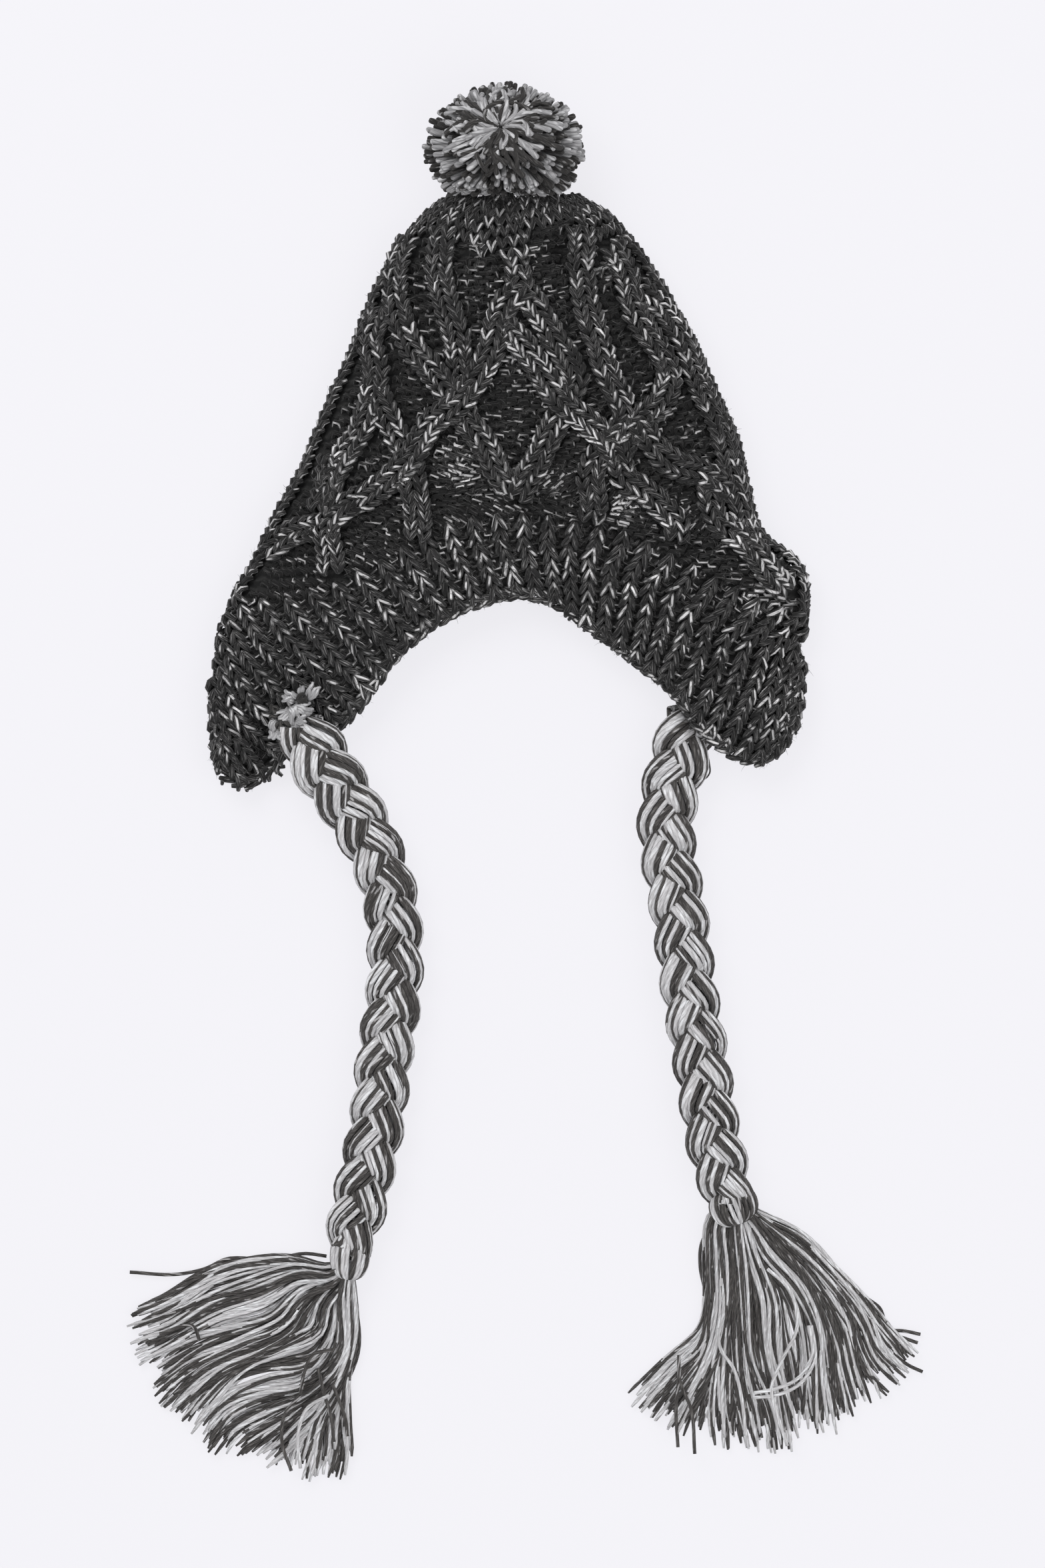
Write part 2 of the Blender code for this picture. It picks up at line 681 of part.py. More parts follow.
def build_tassel(name, route, shift, locks, collection, material):
    """Tassel fanned out on the surface: locks that part towards their tips, fused at the head."""
    top = tassel_rows(route, shift, locks)
    rows = len(top)
    columns = len(top[0])
    verts = [point for row in top for point in row]
    verts += [(x, y, 0) for x, y, z in verts]
    faces = grid_faces(rows, columns, False)
    under = rows * columns
    faces += [tuple(under + index for index in reversed(face)) for face in faces]
    rim = [row * columns for row in range(rows)]
    rim += [(rows - 1) * columns + column for column in range(1, columns)]
    rim += [row * columns + columns - 1 for row in range(rows - 2, -1, -1)]
    rim += [column for column in range(columns - 2, 0, -1)]
    for index, corner in enumerate(rim):
        beside = rim[(index + 1) % len(rim)]
        faces.append((corner, beside, under + beside, under + corner))
    obj = new_mesh_object(name, verts, faces, collection, material)
    smooth_shading(obj, 60)
    return obj


def make_material(name, colour, roughness):
    """Plain yarn colour."""
    material = bpy.data.materials.new(name)
    material.use_nodes = True
    shader = material.node_tree.nodes["Principled BSDF"]
    shader.inputs["Base Color"].default_value = (*colour, 1)
    shader.inputs["Roughness"].default_value = roughness
    shader.inputs["Metallic"].default_value = 0.0
    return material


def main():
    """Build the whole hat."""
    for obj in list(bpy.data.objects):
        bpy.data.objects.remove(obj, do_unlink=True)
    scene = bpy.context.scene.collection
    hat = bpy.data.collections.new("pet_hat")
    scene.children.link(hat)
    charcoal = make_material("charcoal_knit", (0.035, 0.034, 0.033), 0.9)
    mixed = make_material("grey_yarn", (0.30, 0.29, 0.29), 0.85)
    build_crown(hat, charcoal)
    build_band(hat, charcoal)
    build_pompom(hat, mixed)
    build_braid("left", LEFT_ROUTE, hat, mixed)
    build_braid("right", RIGHT_ROUTE, hat, mixed)
    build_tassel("tassel_left", LEFT_ROUTE, LEFT_TASSEL_SHIFT, LEFT_TASSEL, hat, mixed)
    build_tassel("tassel_right", RIGHT_ROUTE, RIGHT_TASSEL_SHIFT, RIGHT_TASSEL, hat, mixed)
    build_knot("knot_left", LEFT_KNOT_PLACE, True, hat, mixed, SEED + 1)
    build_knot("knot_right", RIGHT_KNOT_PLACE, False, hat, mixed, SEED + 2)


main()
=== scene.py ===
"""Knitted hat with ear flaps, a pompom and two braided ties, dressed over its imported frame.

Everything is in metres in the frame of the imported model, but for the charts of the yarns, which
are in tenths of a millimetre. The hat lies on its back on the surface z = 0, +Y runs from the ear
flaps to the pompom and the camera looks straight down.
"""

import logging
import math
from dataclasses import dataclass, field
from enum import Enum
from typing import Optional, Union

import bpy
import numpy as np
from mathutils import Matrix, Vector

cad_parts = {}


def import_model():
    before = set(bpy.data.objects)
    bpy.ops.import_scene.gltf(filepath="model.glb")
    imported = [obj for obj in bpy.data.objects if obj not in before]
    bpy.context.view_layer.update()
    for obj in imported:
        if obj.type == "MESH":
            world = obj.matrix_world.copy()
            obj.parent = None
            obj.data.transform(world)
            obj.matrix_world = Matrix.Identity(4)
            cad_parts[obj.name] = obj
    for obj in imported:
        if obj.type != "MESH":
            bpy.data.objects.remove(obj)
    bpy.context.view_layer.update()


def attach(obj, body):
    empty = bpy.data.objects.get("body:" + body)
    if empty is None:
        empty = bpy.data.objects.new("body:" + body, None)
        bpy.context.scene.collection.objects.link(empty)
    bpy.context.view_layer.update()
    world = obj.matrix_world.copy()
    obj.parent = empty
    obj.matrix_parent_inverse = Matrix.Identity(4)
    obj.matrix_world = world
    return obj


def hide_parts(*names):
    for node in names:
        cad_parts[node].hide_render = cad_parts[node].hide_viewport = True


LOG = logging.getLogger("knitted_hat")
Array = np.ndarray
Socket = bpy.types.NodeSocket
Feed = Union[bpy.types.NodeSocket, float, tuple]

TENTHS = 10000
THOUSANDTHS = 1000
UPWARDS = np.array([0.0, 0.0, 1.0])
GOLDEN_ANGLE = math.pi * (3 - math.sqrt(5))
YARN_UV = "yarn"


class Layer(Enum):
    """The two layers of the laid hat, with the sign of their outward side."""

    FRONT = 1
    BACK = -1


class Side(Enum):
    """The two sides of the hat as the camera sees them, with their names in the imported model."""

    LEFT = "left"
    RIGHT = "right"


class Stitch(Enum):
    """The faces of a stitch, each as the yarn paths that show.

    A path's points are across in widths, along in pitches and height in yarn widths.
    """

    KNIT = (
        ((-0.01, -0.62, -0.50), (-0.14, -0.24, 0.18), (-0.32, 0.25, 0.30), (-0.43, 0.70, -0.42)),
        ((0.01, -0.62, -0.50), (0.14, -0.24, 0.18), (0.32, 0.25, 0.30), (0.43, 0.70, -0.42)),
    )
    PURL = (
        ((-0.50, -0.58, -0.80), (-0.24, 0.06, 0.20), (0.24, 0.06, 0.20), (0.50, -0.58, -0.80)),
        ((0.00, 0.80, -0.80), (0.26, 0.40, 0.02), (0.74, 0.40, 0.02), (1.00, 0.80, -0.80)),
    )


# Half of the hat is 1 across, and its length from flap tip to gathered top is 1 up
CROWN_SIDES = (
    # level, left_across, left_up, right_across, right_up, loft
    (0.0, -0.927, 0.319, 0.994, 0.285, 0.80),
    (0.1, -0.849, 0.385, 0.977, 0.364, 0.88),
    (0.2, -0.787, 0.455, 0.845, 0.426, 0.95),
    (0.3, -0.712, 0.523, 0.800, 0.501, 1.00),
    (0.4, -0.654, 0.594, 0.765, 0.582, 1.00),
    (0.5, -0.597, 0.664, 0.698, 0.660, 1.00),
    (0.6, -0.535, 0.735, 0.632, 0.737, 0.97),
    (0.7, -0.482, 0.807, 0.548, 0.819, 0.92),
    (0.8, -0.420, 0.875, 0.460, 0.891, 0.85),
    (0.9, -0.332, 0.946, 0.349, 0.964, 0.76),
    (1.0, -0.236, 0.994, 0.258, 0.994, 0.66),
)
BAND_LINE = (
    # along, across, up
    (0.00, -0.927, 0.319),
    (0.09, -0.739, 0.313),
    (0.17, -0.584, 0.336),
    (0.29, -0.363, 0.395),
    (0.41, -0.142, 0.444),
    (0.49, 0.023, 0.455),
    (0.57, 0.189, 0.444),
    (0.68, 0.410, 0.418),
    (0.80, 0.631, 0.361),
    (0.925, 0.852, 0.304),
    (1.00, 0.994, 0.285),
)
BRIM_EDGE = (
    # along, across, up
    (0.000, -0.991, 0.073),
    (0.045, -0.927, 0.011),
    (0.065, -0.868, 0.000),
    (0.085, -0.810, 0.014),
    (0.125, -0.735, 0.064),
    (0.205, -0.540, 0.109),
    (0.297, -0.386, 0.211),
    (0.370, -0.244, 0.274),
    (0.430, -0.120, 0.302),
    (0.490, 0.023, 0.321),
    (0.550, 0.169, 0.302),
    (0.600, 0.256, 0.268),
    (0.667, 0.393, 0.217),
    (0.750, 0.543, 0.153),
    (0.790, 0.620, 0.103),
    (0.840, 0.708, 0.061),
    (0.885, 0.804, 0.040),
    (0.930, 0.885, 0.058),
    (1.000, 0.963, 0.129),
)
FLAP_SIDES = (
    # down, left_across, left_up, right_across, right_up
    (0.00, -0.927, 0.319, 0.994, 0.285),
    (0.19, -0.960, 0.274, 0.989, 0.258),
    (0.33, -0.978, 0.241, 0.958, 0.240),
    (0.49, -0.980, 0.200, 0.978, 0.213),
    (0.65, -1.000, 0.160, 0.980, 0.186),
    (0.80, -0.990, 0.125, 0.974, 0.160),
    (1.00, -0.991, 0.073, 0.963, 0.129),
)
FOLDS = (
    # along, down, half_along, half_down, height
    (0.085, 0.97, 0.020, 0.27, -0.48),
    (0.035, 0.80, 0.030, 0.30, 0.10),
    (0.170, 1.00, 0.050, 0.22, -0.20),
    (0.785, 1.00, 0.060, 0.35, 0.32),
    (0.900, 0.80, 0.040, 0.35, 0.16),
    (0.940, 0.50, 0.045, 0.18, -0.14),
    (0.920, -0.12, 0.070, 0.25, 0.18),
    (0.680, -0.81, 0.045, 0.035, -0.34),
    (0.300, -0.82, 0.060, 0.022, -0.20),
    (0.520, -0.79, 0.040, 0.020, -0.14),
    (0.818, 0.06, 0.050, 0.100, -0.24),
    (0.975, 0.21, 0.030, 0.070, -0.28),
)

# The travelling cables of the front layer, charted from the brim towards the top.
# Each point is along and level in thousandths, then 1 where it crosses over another, -1 under
CABLES = (
    ((88, 215), (83, 298), (95, 345), (115, 405), (120, 470), (107, 550), (65, 615), (65, 693)),
    ((158, 40), (128, 125), (120, 177, 1), (140, 215), (190, 235), (233, 280), (258, 315, 1),
     (283, 395), (340, 435, 1), (362, 472), (393, 525), (415, 595), (427, 643), (460, 688),
     (515, 723, 1)),
    ((18, 110), (43, 153), (80, 175), (115, 180, -1)),
    ((122, 180, -1), (103, 245), (75, 305), (65, 345)),
    ((315, 20), (297, 105), (288, 203), (255, 295, -1), (208, 375), (170, 433), (133, 485),
     (98, 535, -1)),
    ((475, 97), (455, 215), (413, 315), (372, 375), (340, 435, -1), (305, 480), (255, 538),
     (195, 593), (152, 643), (118, 690), (83, 758), (58, 808), (48, 870)),
    ((475, 97, 1), (525, 225), (547, 320), (583, 420, -1), (623, 498), (603, 560), (575, 617),
     (547, 673), (515, 723, -1), (500, 778), (500, 860)),
    ((748, 48), (758, 140), (755, 210), (710, 240), (698, 298), (670, 347), (635, 377),
     (585, 427, 1), (545, 500), (512, 558), (470, 610), (430, 647, -1)),
    ((605, 20), (608, 110), (630, 185), (650, 275, -1), (685, 340), (723, 410), (718, 480),
     (705, 530), (703, 588), (700, 643), (705, 705), (740, 790), (790, 865)),
    ((357, 433), (330, 530, -1), (310, 617), (278, 683), (242, 750), (208, 828), (195, 890)),
    ((698, 298, -1), (753, 400), (820, 460), (873, 530), (870, 590), (848, 640), (850, 693),
     (870, 755), (880, 825)),
    ((958, 280), (902, 310), (820, 318), (777, 357), (753, 400, 1)),
    ((915, 117), (958, 210), (958, 280, 1), (955, 345), (958, 415), (953, 475), (948, 535),
     (955, 595), (950, 643), (930, 685), (890, 723)),
    ((960, 38), (925, 73), (907, 117, 1), (900, 190), (902, 310, -1)),
)

# Spots where the light ply of the yarn lies outwards over several stitches: x, y and reach
PALE_SPOTS = (
    (980, -600, 130),
    (860, -400, 65),
    (314, -33, 70),
    (-211, -133, 75),
    (139, -220, 55),
    (439, -308, 55),
    (-110, 668, 60),
    (350, 592, 50),
    (14, 267, 55),
    (-586, -107, 60),
    (-11, -545, 70),
    (-420, 760, 50),
)

# The routes of the two ties, knot end first
LEFT_ROUTE = (
    (-781, -1095, 172), (-742, -1175, 178), (-690, -1262, 172), (-630, -1347, 152), (-574, -1438, 122),
    (-519, -1540, 98), (-471, -1658, 86), (-440, -1783, 84), (-427, -1908, 84), (-428, -2033, 84),
    (-439, -2158, 84), (-458, -2283, 84), (-475, -2408, 84), (-488, -2533, 84), (-509, -2658, 84),
    (-536, -2783, 84), (-566, -2908, 84), (-590, -3000, 84), (-604, -3075, 84),
)
RIGHT_ROUTE = (
    (690, -1065, 64), (662, -1130, 76), (639, -1220, 82), (609, -1320, 84), (589, -1420, 84),
    (587, -1520, 84), (598, -1610, 84), (619, -1720, 84), (640, -1845, 84), (655, -1970, 84),
    (672, -2095, 84), (693, -2220, 84), (714, -2345, 84), (734, -2470, 84), (753, -2595, 84),
    (780, -2720, 84), (815, -2840, 84), (838, -2895, 84),
)

# Paths of the tassels' locks from the tie, as x and y
LEFT_LOCKS = (
    ((-661, -3133), (-811, -3115), (-986, -3145), (-1161, -3195), (-1311, -3270), (-1421, -3325)),
    ((-661, -3145), (-799, -3145), (-961, -3195), (-1136, -3257), (-1286, -3345), (-1421, -3402)),
    ((-659, -3158), (-786, -3170), (-924, -3245), (-1086, -3295), (-1261, -3395), (-1404, -3468)),
    ((-654, -3170), (-774, -3220), (-886, -3320), (-1061, -3370), (-1236, -3445), (-1366, -3538)),
    ((-649, -3183), (-749, -3232), (-836, -3345), (-999, -3420), (-1186, -3508), (-1336, -3638)),
    ((-646, -3195), (-724, -3257), (-799, -3382), (-936, -3458), (-1111, -3533), (-1266, -3693)),
    ((-644, -3207), (-694, -3270), (-711, -3362), (-836, -3438), (-1036, -3520), (-1231, -3713)),
    ((-636, -3220), (-656, -3382), (-749, -3503), (-911, -3528), (-1049, -3578), (-1181, -3748)),
    ((-631, -3232), (-649, -3432), (-761, -3565), (-911, -3603), (-1061, -3663), (-1166, -3795)),
    ((-629, -3232), (-636, -3458), (-749, -3595), (-911, -3670), (-1049, -3745), (-1116, -3838)),
    ((-624, -3232), (-629, -3483), (-724, -3608), (-861, -3708), (-974, -3783), (-1061, -3862)),
    ((-619, -3232), (-621, -3483), (-686, -3608), (-786, -3708), (-874, -3803), (-941, -3862)),
    ((-611, -3232), (-611, -3458), (-661, -3595), (-736, -3708), (-799, -3808), (-821, -3897)),
    ((-606, -3232), (-604, -3458), (-649, -3595), (-711, -3708), (-736, -3833), (-751, -3937)),
    ((-599, -3232), (-596, -3458), (-641, -3595), (-661, -3708), (-661, -3833), (-686, -3937)),
    ((-594, -3232), (-589, -3407), (-629, -3570), (-636, -3708), (-631, -3833), (-641, -3912)),
)
RIGHT_LOCKS = (
    ((764, -2938), (751, -3083), (754, -3245), (734, -3357), (601, -3508), (454, -3663)),
    ((774, -2938), (759, -3083), (764, -3282), (734, -3420), (634, -3545), (519, -3698)),
    ((784, -2938), (774, -3108), (774, -3307), (739, -3470), (671, -3608), (589, -3753)),
    ((796, -2938), (789, -3108), (789, -3307), (759, -3483), (721, -3620), (669, -3773)),
    ((809, -2938), (804, -3133), (799, -3332), (789, -3508), (789, -3663), (814, -3823)),
    ((821, -2938), (821, -3133), (819, -3332), (824, -3508), (834, -3663), (854, -3823)),
    ((834, -2938), (839, -3133), (844, -3332), (859, -3508), (889, -3663), (919, -3813)),
    ((846, -2938), (864, -3133), (884, -3332), (901, -3508), (944, -3663), (974, -3823)),
    ((859, -2938), (889, -3108), (934, -3282), (951, -3458), (981, -3638), (1009, -3833)),
    ((871, -2938), (914, -3083), (976, -3257), (989, -3432), (1026, -3613), (1064, -3783)),
    ((884, -2938), (944, -3083), (1039, -3207), (1089, -3382), (1106, -3563), (1134, -3763)),
    ((894, -2938), (964, -3070), (1076, -3195), (1149, -3357), (1169, -3538), (1199, -3773)),
    ((904, -2945), (989, -3058), (1114, -3207), (1189, -3382), (1219, -3538), (1259, -3718)),
    ((914, -2945), (1014, -3058), (1139, -3183), (1244, -3345), (1294, -3508), (1349, -3673)),
    ((924, -2945), (1039, -3038), (1164, -3153), (1289, -3320), (1351, -3483), (1454, -3593)),
    ((934, -2945), (1064, -3023), (1184, -3133), (1319, -3287), (1394, -3432), (1499, -3538)),
    ((944, -2945), (1076, -3013), (1196, -3128), (1319, -3257), (1409, -3377), (1509, -3493)),
)

# Fine loop of loose fibre beside the start of the right tie
RIGHT_LOOP = (
    (739, -1205, 85), (748, -1245, 60), (749, -1283, 45), (735, -1301, 40), (714, -1303, 50),
    (694, -1298, 72),
)

# Single stray yarns: 1 where dark, height, and x and y along it
LEFT_STRAYS = (
    (1, 4, ((-686, -3093), (-761, -3083), (-911, -3108), (-961, -3103),
     (-1061, -3103), (-1136, -3138), (-1236, -3160), (-1424, -3153))),
    (1, 60, ((-661, -3570), (-636, -3633), (-614, -3695), (-606, -3763))),
    (1, 75, ((-661, -3438), (-736, -3458), (-766, -3520), (-781, -3608))),
    (1, 70, ((-716, -3508), (-691, -3608), (-666, -3695), (-656, -3783))),
    (0, 75, ((-674, -3608), (-756, -3658), (-791, -3758), (-781, -3882))),
    (1, 66, ((-781, -3608), (-841, -3683), (-851, -3783), (-816, -3892))),
    (1, 45, ((-1161, -3407), (-1181, -3357), (-1311, -3382))),
)
RIGHT_STRAYS = (
    (0, 110, ((964, -3133), (1044, -3207), (1076, -3345), (1009, -3495),
     (979, -3583), (999, -3670), (1039, -3795))),
    (0, 108, ((1119, -3345), (1131, -3458), (1076, -3545), (989, -3583), (914, -3598))),
    (0, 104, ((1129, -3345), (1141, -3473), (1084, -3565), (989, -3608), (909, -3615))),
    (0, 85, ((779, -3357), (789, -3432), (839, -3508), (869, -3620), (884, -3758))),
    (1, 70, ((634, -3458), (639, -3558), (679, -3658), (694, -3828))),
    (1, 68, ((639, -3508), (624, -3658), (631, -3803))),
    (1, 4, ((1339, -3345), (1426, -3370), (1476, -3372), (1541, -3385))),
    (1, 4, ((1364, -3370), (1451, -3390), (1531, -3417))),
    (1, 4, ((1214, -3163), (1276, -3212), (1351, -3257), (1389, -3287), (1406, -3330))),
    (1, 4, ((744, -2995), (721, -3045), (716, -3133), (734, -3220))),
    (1, 10, ((1439, -3458), (1501, -3503), (1549, -3525))),
)

# Tufts of the knots: x, y, heading in degrees, reach and 1 where dark
LEFT_TUFTS = (
    (-781, -1005, 112, 40, 0),
    (-756, -1008, 47, 67, 0),
    (-804, -1008, 172, 47, 0),
    (-794, -1028, 328, 55, 0),
    (-809, -1033, 300, 43, 0),
    (-771, -1042, 318, 37, 0),
    (-819, -1047, 222, 57, 0),
    (-869, -1082, 248, 50, 0),
    (-831, -1057, 302, 60, 0),
    (-811, -1098, 312, 43, 0),
    (-876, -1123, 268, 37, 0),
    (-836, -1128, 205, 35, 0),
    (-846, -1077, 268, 43, 1),
    (-789, -1013, 18, 43, 1),
    (-859, -1057, 160, 37, 1),
    (-794, -1082, 350, 40, 0),
)
RIGHT_TUFTS = (
    (759, -1013, 70, 33, 0),
    (744, -1038, 300, 43, 0),
    (729, -1062, 10, 37, 0),
    (769, -1047, 240, 33, 0),
    (709, -1023, 200, 37, 1),
    (744, -1067, 250, 37, 1),
    (714, -1042, 140, 35, 0),
)


def smooth(rows: tuple, column: int, at: Array) -> Array:
    """Read one column of a table on a smooth curve through its rows.

    Args:
        rows: The table, with the place in its first column.
        column: Which column to read.
        at: The places to read it at.

    Returns:
        The values there.
    """
    table = np.array(rows, dtype=float)
    knots = table[:, 0]
    values = table[:, column]
    slopes = np.gradient(values, knots)
    at = np.clip(at, knots[0], knots[-1])
    cell = np.clip(np.searchsorted(knots, at, side="right") - 1, 0, len(knots) - 2)
    width = knots[cell + 1] - knots[cell]
    t = (at - knots[cell]) / width
    start = values[cell] + (values[cell + 1] - values[cell]) * t * t * (3 - 2 * t)
    lean_in = slopes[cell] * width * t * (1 - t) ** 2
    lean_out = slopes[cell + 1] * width * t * t * (t - 1)
    return start + lean_in + lean_out


def unit(vectors: Array) -> Array:
    """Vectors of length 1."""
    return vectors / np.maximum(np.linalg.norm(vectors, axis=-1, keepdims=True), 1e-12)


def arc_lengths(points: Array) -> Array:
    """Distance of each point of a polyline from its start."""
    steps = np.linalg.norm(np.diff(points, axis=0), axis=1)
    return np.concatenate([[0.0], np.cumsum(steps)])


def read_line(points: Array, at: Array, places: Array) -> Array:
    """Read points of a polyline at given places along it.

    Args:
        points: Points of the line, as rows of x, y and z.
        at: Place of each point along the line.
        places: The places to read.

    Returns:
        One point for each place.
    """
    return np.stack([np.interp(places, at, points[:, axis]) for axis in range(3)], axis=-1)


def resample(points: Array, count: int) -> Array:
    """Even points along a smooth curve through the given ones.

    Args:
        points: Points of any number of columns, whose first three are a place.
        count: How many points to return.

    Returns:
        The points, evenly spaced.
    """
    at = arc_lengths(points[:, :3])
    rows = tuple(map(tuple, np.column_stack([at, points])))
    even = np.linspace(0, at[-1], count)
    return np.stack([smooth(rows, column + 1, even) for column in range(points.shape[1])], axis=-1)


def heading_vector(degrees: float) -> Array:
    """Level direction of a heading, counted from +X towards +Y."""
    return np.array([math.cos(math.radians(degrees)), math.sin(math.radians(degrees)), 0.0])


def to_the_left(vectors: Array) -> Array:
    """Level directions square to the given ones, on their left."""
    return np.stack([-vectors[..., 1], vectors[..., 0], np.zeros(vectors.shape[:-1])], axis=-1)


def link_object(name: str, data: bpy.types.ID) -> bpy.types.Object:
    """Make an object and link it to the scene.

    Args:
        name: Name of the object.
        data: Its mesh, light or camera.

    Returns:
        The object.
    """
    obj = bpy.data.objects.new(name, data)
    bpy.context.scene.collection.objects.link(obj)
    return obj


def smooth_mesh(name: str, verts: Array, corners: Array, sizes: Array, materials: list) -> bpy.types.Mesh:
    """Make a smooth-shaded mesh from arrays.

    Args:
        name: Name of the mesh.
        verts: Its vertices.
        corners: Vertex number of each face corner, face by face.
        sizes: How many corners each face has.
        materials: Its material slots.

    Returns:
        The mesh.
    """
    mesh = bpy.data.meshes.new(name)
    mesh.vertices.add(len(verts))
    mesh.vertices.foreach_set("co", verts.astype(np.float32).ravel())
    mesh.loops.add(len(corners))
    mesh.loops.foreach_set("vertex_index", corners.astype(np.int32))
    mesh.polygons.add(len(sizes))
    starts = np.concatenate([[0], np.cumsum(sizes)[:-1]])
    mesh.polygons.foreach_set("loop_start", starts.astype(np.int32))
    mesh.polygons.foreach_set("use_smooth", np.ones(len(sizes), dtype=bool))
    for material in materials:
        mesh.materials.append(material)
    mesh.update(calc_edges=True)
    return mesh


@dataclass(frozen=True)
class HatSurface:
    """Outer face of the laid hat, addressed by along (0 to 1 across) and level.

    Level runs from -1 at the free edge over 0 at the seam of the band to 1 at the gathered top.
    """

    width: float = 0.2262
    length: float = 0.2202
    pompom_length: float = 0.044
    piece_gap: float = 0.0003
    crown_loft: float = 0.031
    brim_loft: float = 0.0165
    fold_thickness: float = 0.011
    back_lift: float = 0.005
    stand_off: float = 0.0008
    bow_fade: float = 2.6
    dome_power: float = 2.2
    back_lift_power: int = 8
    normal_reach: float = 0.006

    @property
    def tip_y(self) -> float:
        """Y of the lower flap tip."""
        return -(self.length + self.piece_gap + self.pompom_length) / 2

    @property
    def top_y(self) -> float:
        """Y of the gathered top."""
        return self.tip_y + self.length

    @staticmethod
    def pair(rows: tuple, first: int, at: Array) -> Array:
        """Read two neighbouring columns of a table, as across and up."""
        return np.stack([smooth(rows, first, at), smooth(rows, first + 1, at)], axis=-1)

    def plan(self, along: Array, level: Array) -> Array:
        """Place seen from above, as shares of half the width and of the length.

        Args:
            along: Places across the hat.
            level: Places up the hat, of the same shape.

        Returns:
            Across and up, with one axis more than along.
        """
        down = np.clip(-level, 0, 1)
        up = np.clip(level, 0, 1)
        share = along[..., None]
        lower = down[..., None]
        seam = self.pair(BAND_LINE, 1, along)
        seam_left, seam_right = np.array(BAND_LINE[0][1:]), np.array(BAND_LINE[-1][1:])
        tip_left, tip_right = np.array(BRIM_EDGE[0][1:]), np.array(BRIM_EDGE[-1][1:])
        bow = seam - (seam_left + (seam_right - seam_left) * share)
        left, right = self.pair(CROWN_SIDES, 1, up), self.pair(CROWN_SIDES, 3, up)
        crown = left + (right - left) * share + bow * ((1 - up) ** self.bow_fade)[..., None]
        flap_left, flap_right = self.pair(FLAP_SIDES, 1, down), self.pair(FLAP_SIDES, 3, down)
        left_swell = flap_left - (seam_left + (tip_left - seam_left) * lower)
        right_swell = flap_right - (seam_right + (tip_right - seam_right) * lower)
        band = seam + (self.pair(BRIM_EDGE, 1, along) - seam) * lower
        band = band + left_swell * (1 - share) ** 2 + right_swell * share ** 2
        return np.where((level < 0)[..., None], band, crown)

    def front_height(self, along: Array, level: Array) -> Array:
        """Height of the front layer over the surface that the hat lies on.

        Args:
            along: Places across the hat.
            level: Places up the hat, of the same shape.

        Returns:
            Heights in metres.
        """
        up = np.clip(level, 0, 1)
        down = np.clip(-level, 0, 1)
        seam_loft = self.crown_loft * CROWN_SIDES[0][5]
        crown_loft = self.crown_loft * smooth(CROWN_SIDES, 5, up)
        loft = np.where(level < 0, seam_loft + (self.brim_loft - seam_loft) * down, crown_loft)
        dome = 1 - np.abs(2 * along - 1) ** self.dome_power
        swell = np.zeros_like(along)
        for fold_along, fold_down, half_along, half_down, height in FOLDS:
            reach = ((along - fold_along) / half_along) ** 2 + ((-level - fold_down) / half_down) ** 2
            swell = swell + height * self.brim_loft * np.exp(-reach)
        return self.fold_thickness + np.maximum(loft - self.fold_thickness, 0) * dome + swell

    def point(self, along: Array, level: Array, layer: Layer) -> Array:
        """Points of the outer face.

        Args:
            along: Places across the hat.
            level: Places up the hat, of the same shape.
            layer: The front or the back layer.

        Returns:
            Points in metres, with one axis more than along.
        """
        along = np.asarray(along, dtype=float)
        level = np.asarray(level, dtype=float) + np.zeros_like(along)
        plan = self.plan(along, level)
        left = self.plan(np.zeros_like(along), level)
        right = self.plan(np.ones_like(along), level)
        half = self.width / 2
        from_fold = np.minimum(along, 1 - along) * (right - left)[..., 0] * half
        radius = self.fold_thickness / 2
        turn = np.sqrt(1 - (1 - np.clip(from_fold / radius, 0, 1)) ** 2)
        x = plan[..., 0] * half
        y = self.tip_y + plan[..., 1] * self.length
        x = x - self.stand_off * (1 - turn) ** 2 * np.sign(along - 0.5)
        if layer is Layer.FRONT:
            z = radius + (self.front_height(along, level) - radius) * turn
        else:
            z = radius - radius * turn
            middle = 1 - np.abs(2 * along - 1) ** self.back_lift_power
            y = y + self.back_lift * np.clip(-level, 0, 1) * middle
        return np.stack([x, y, z], axis=-1)

    def normal(self, along: Array, level: Array, layer: Layer) -> Array:
        """Outward unit normals of the face.

        Args:
            along: Places across the hat.
            level: Places up the hat, of the same shape.
            layer: The front or the back layer.

        Returns:
            Normals, with one axis more than along.
        """
        step = self.normal_reach
        level = np.asarray(level, dtype=float) + np.zeros_like(along)
        after = self.point(np.clip(along + step, 0, 1), level, layer)
        before = self.point(np.clip(along - step, 0, 1), level, layer)
        above = self.point(along, level + step, layer)
        under = self.point(along, level - step, layer)
        return unit(np.cross(after - before, above - under)) * layer.value


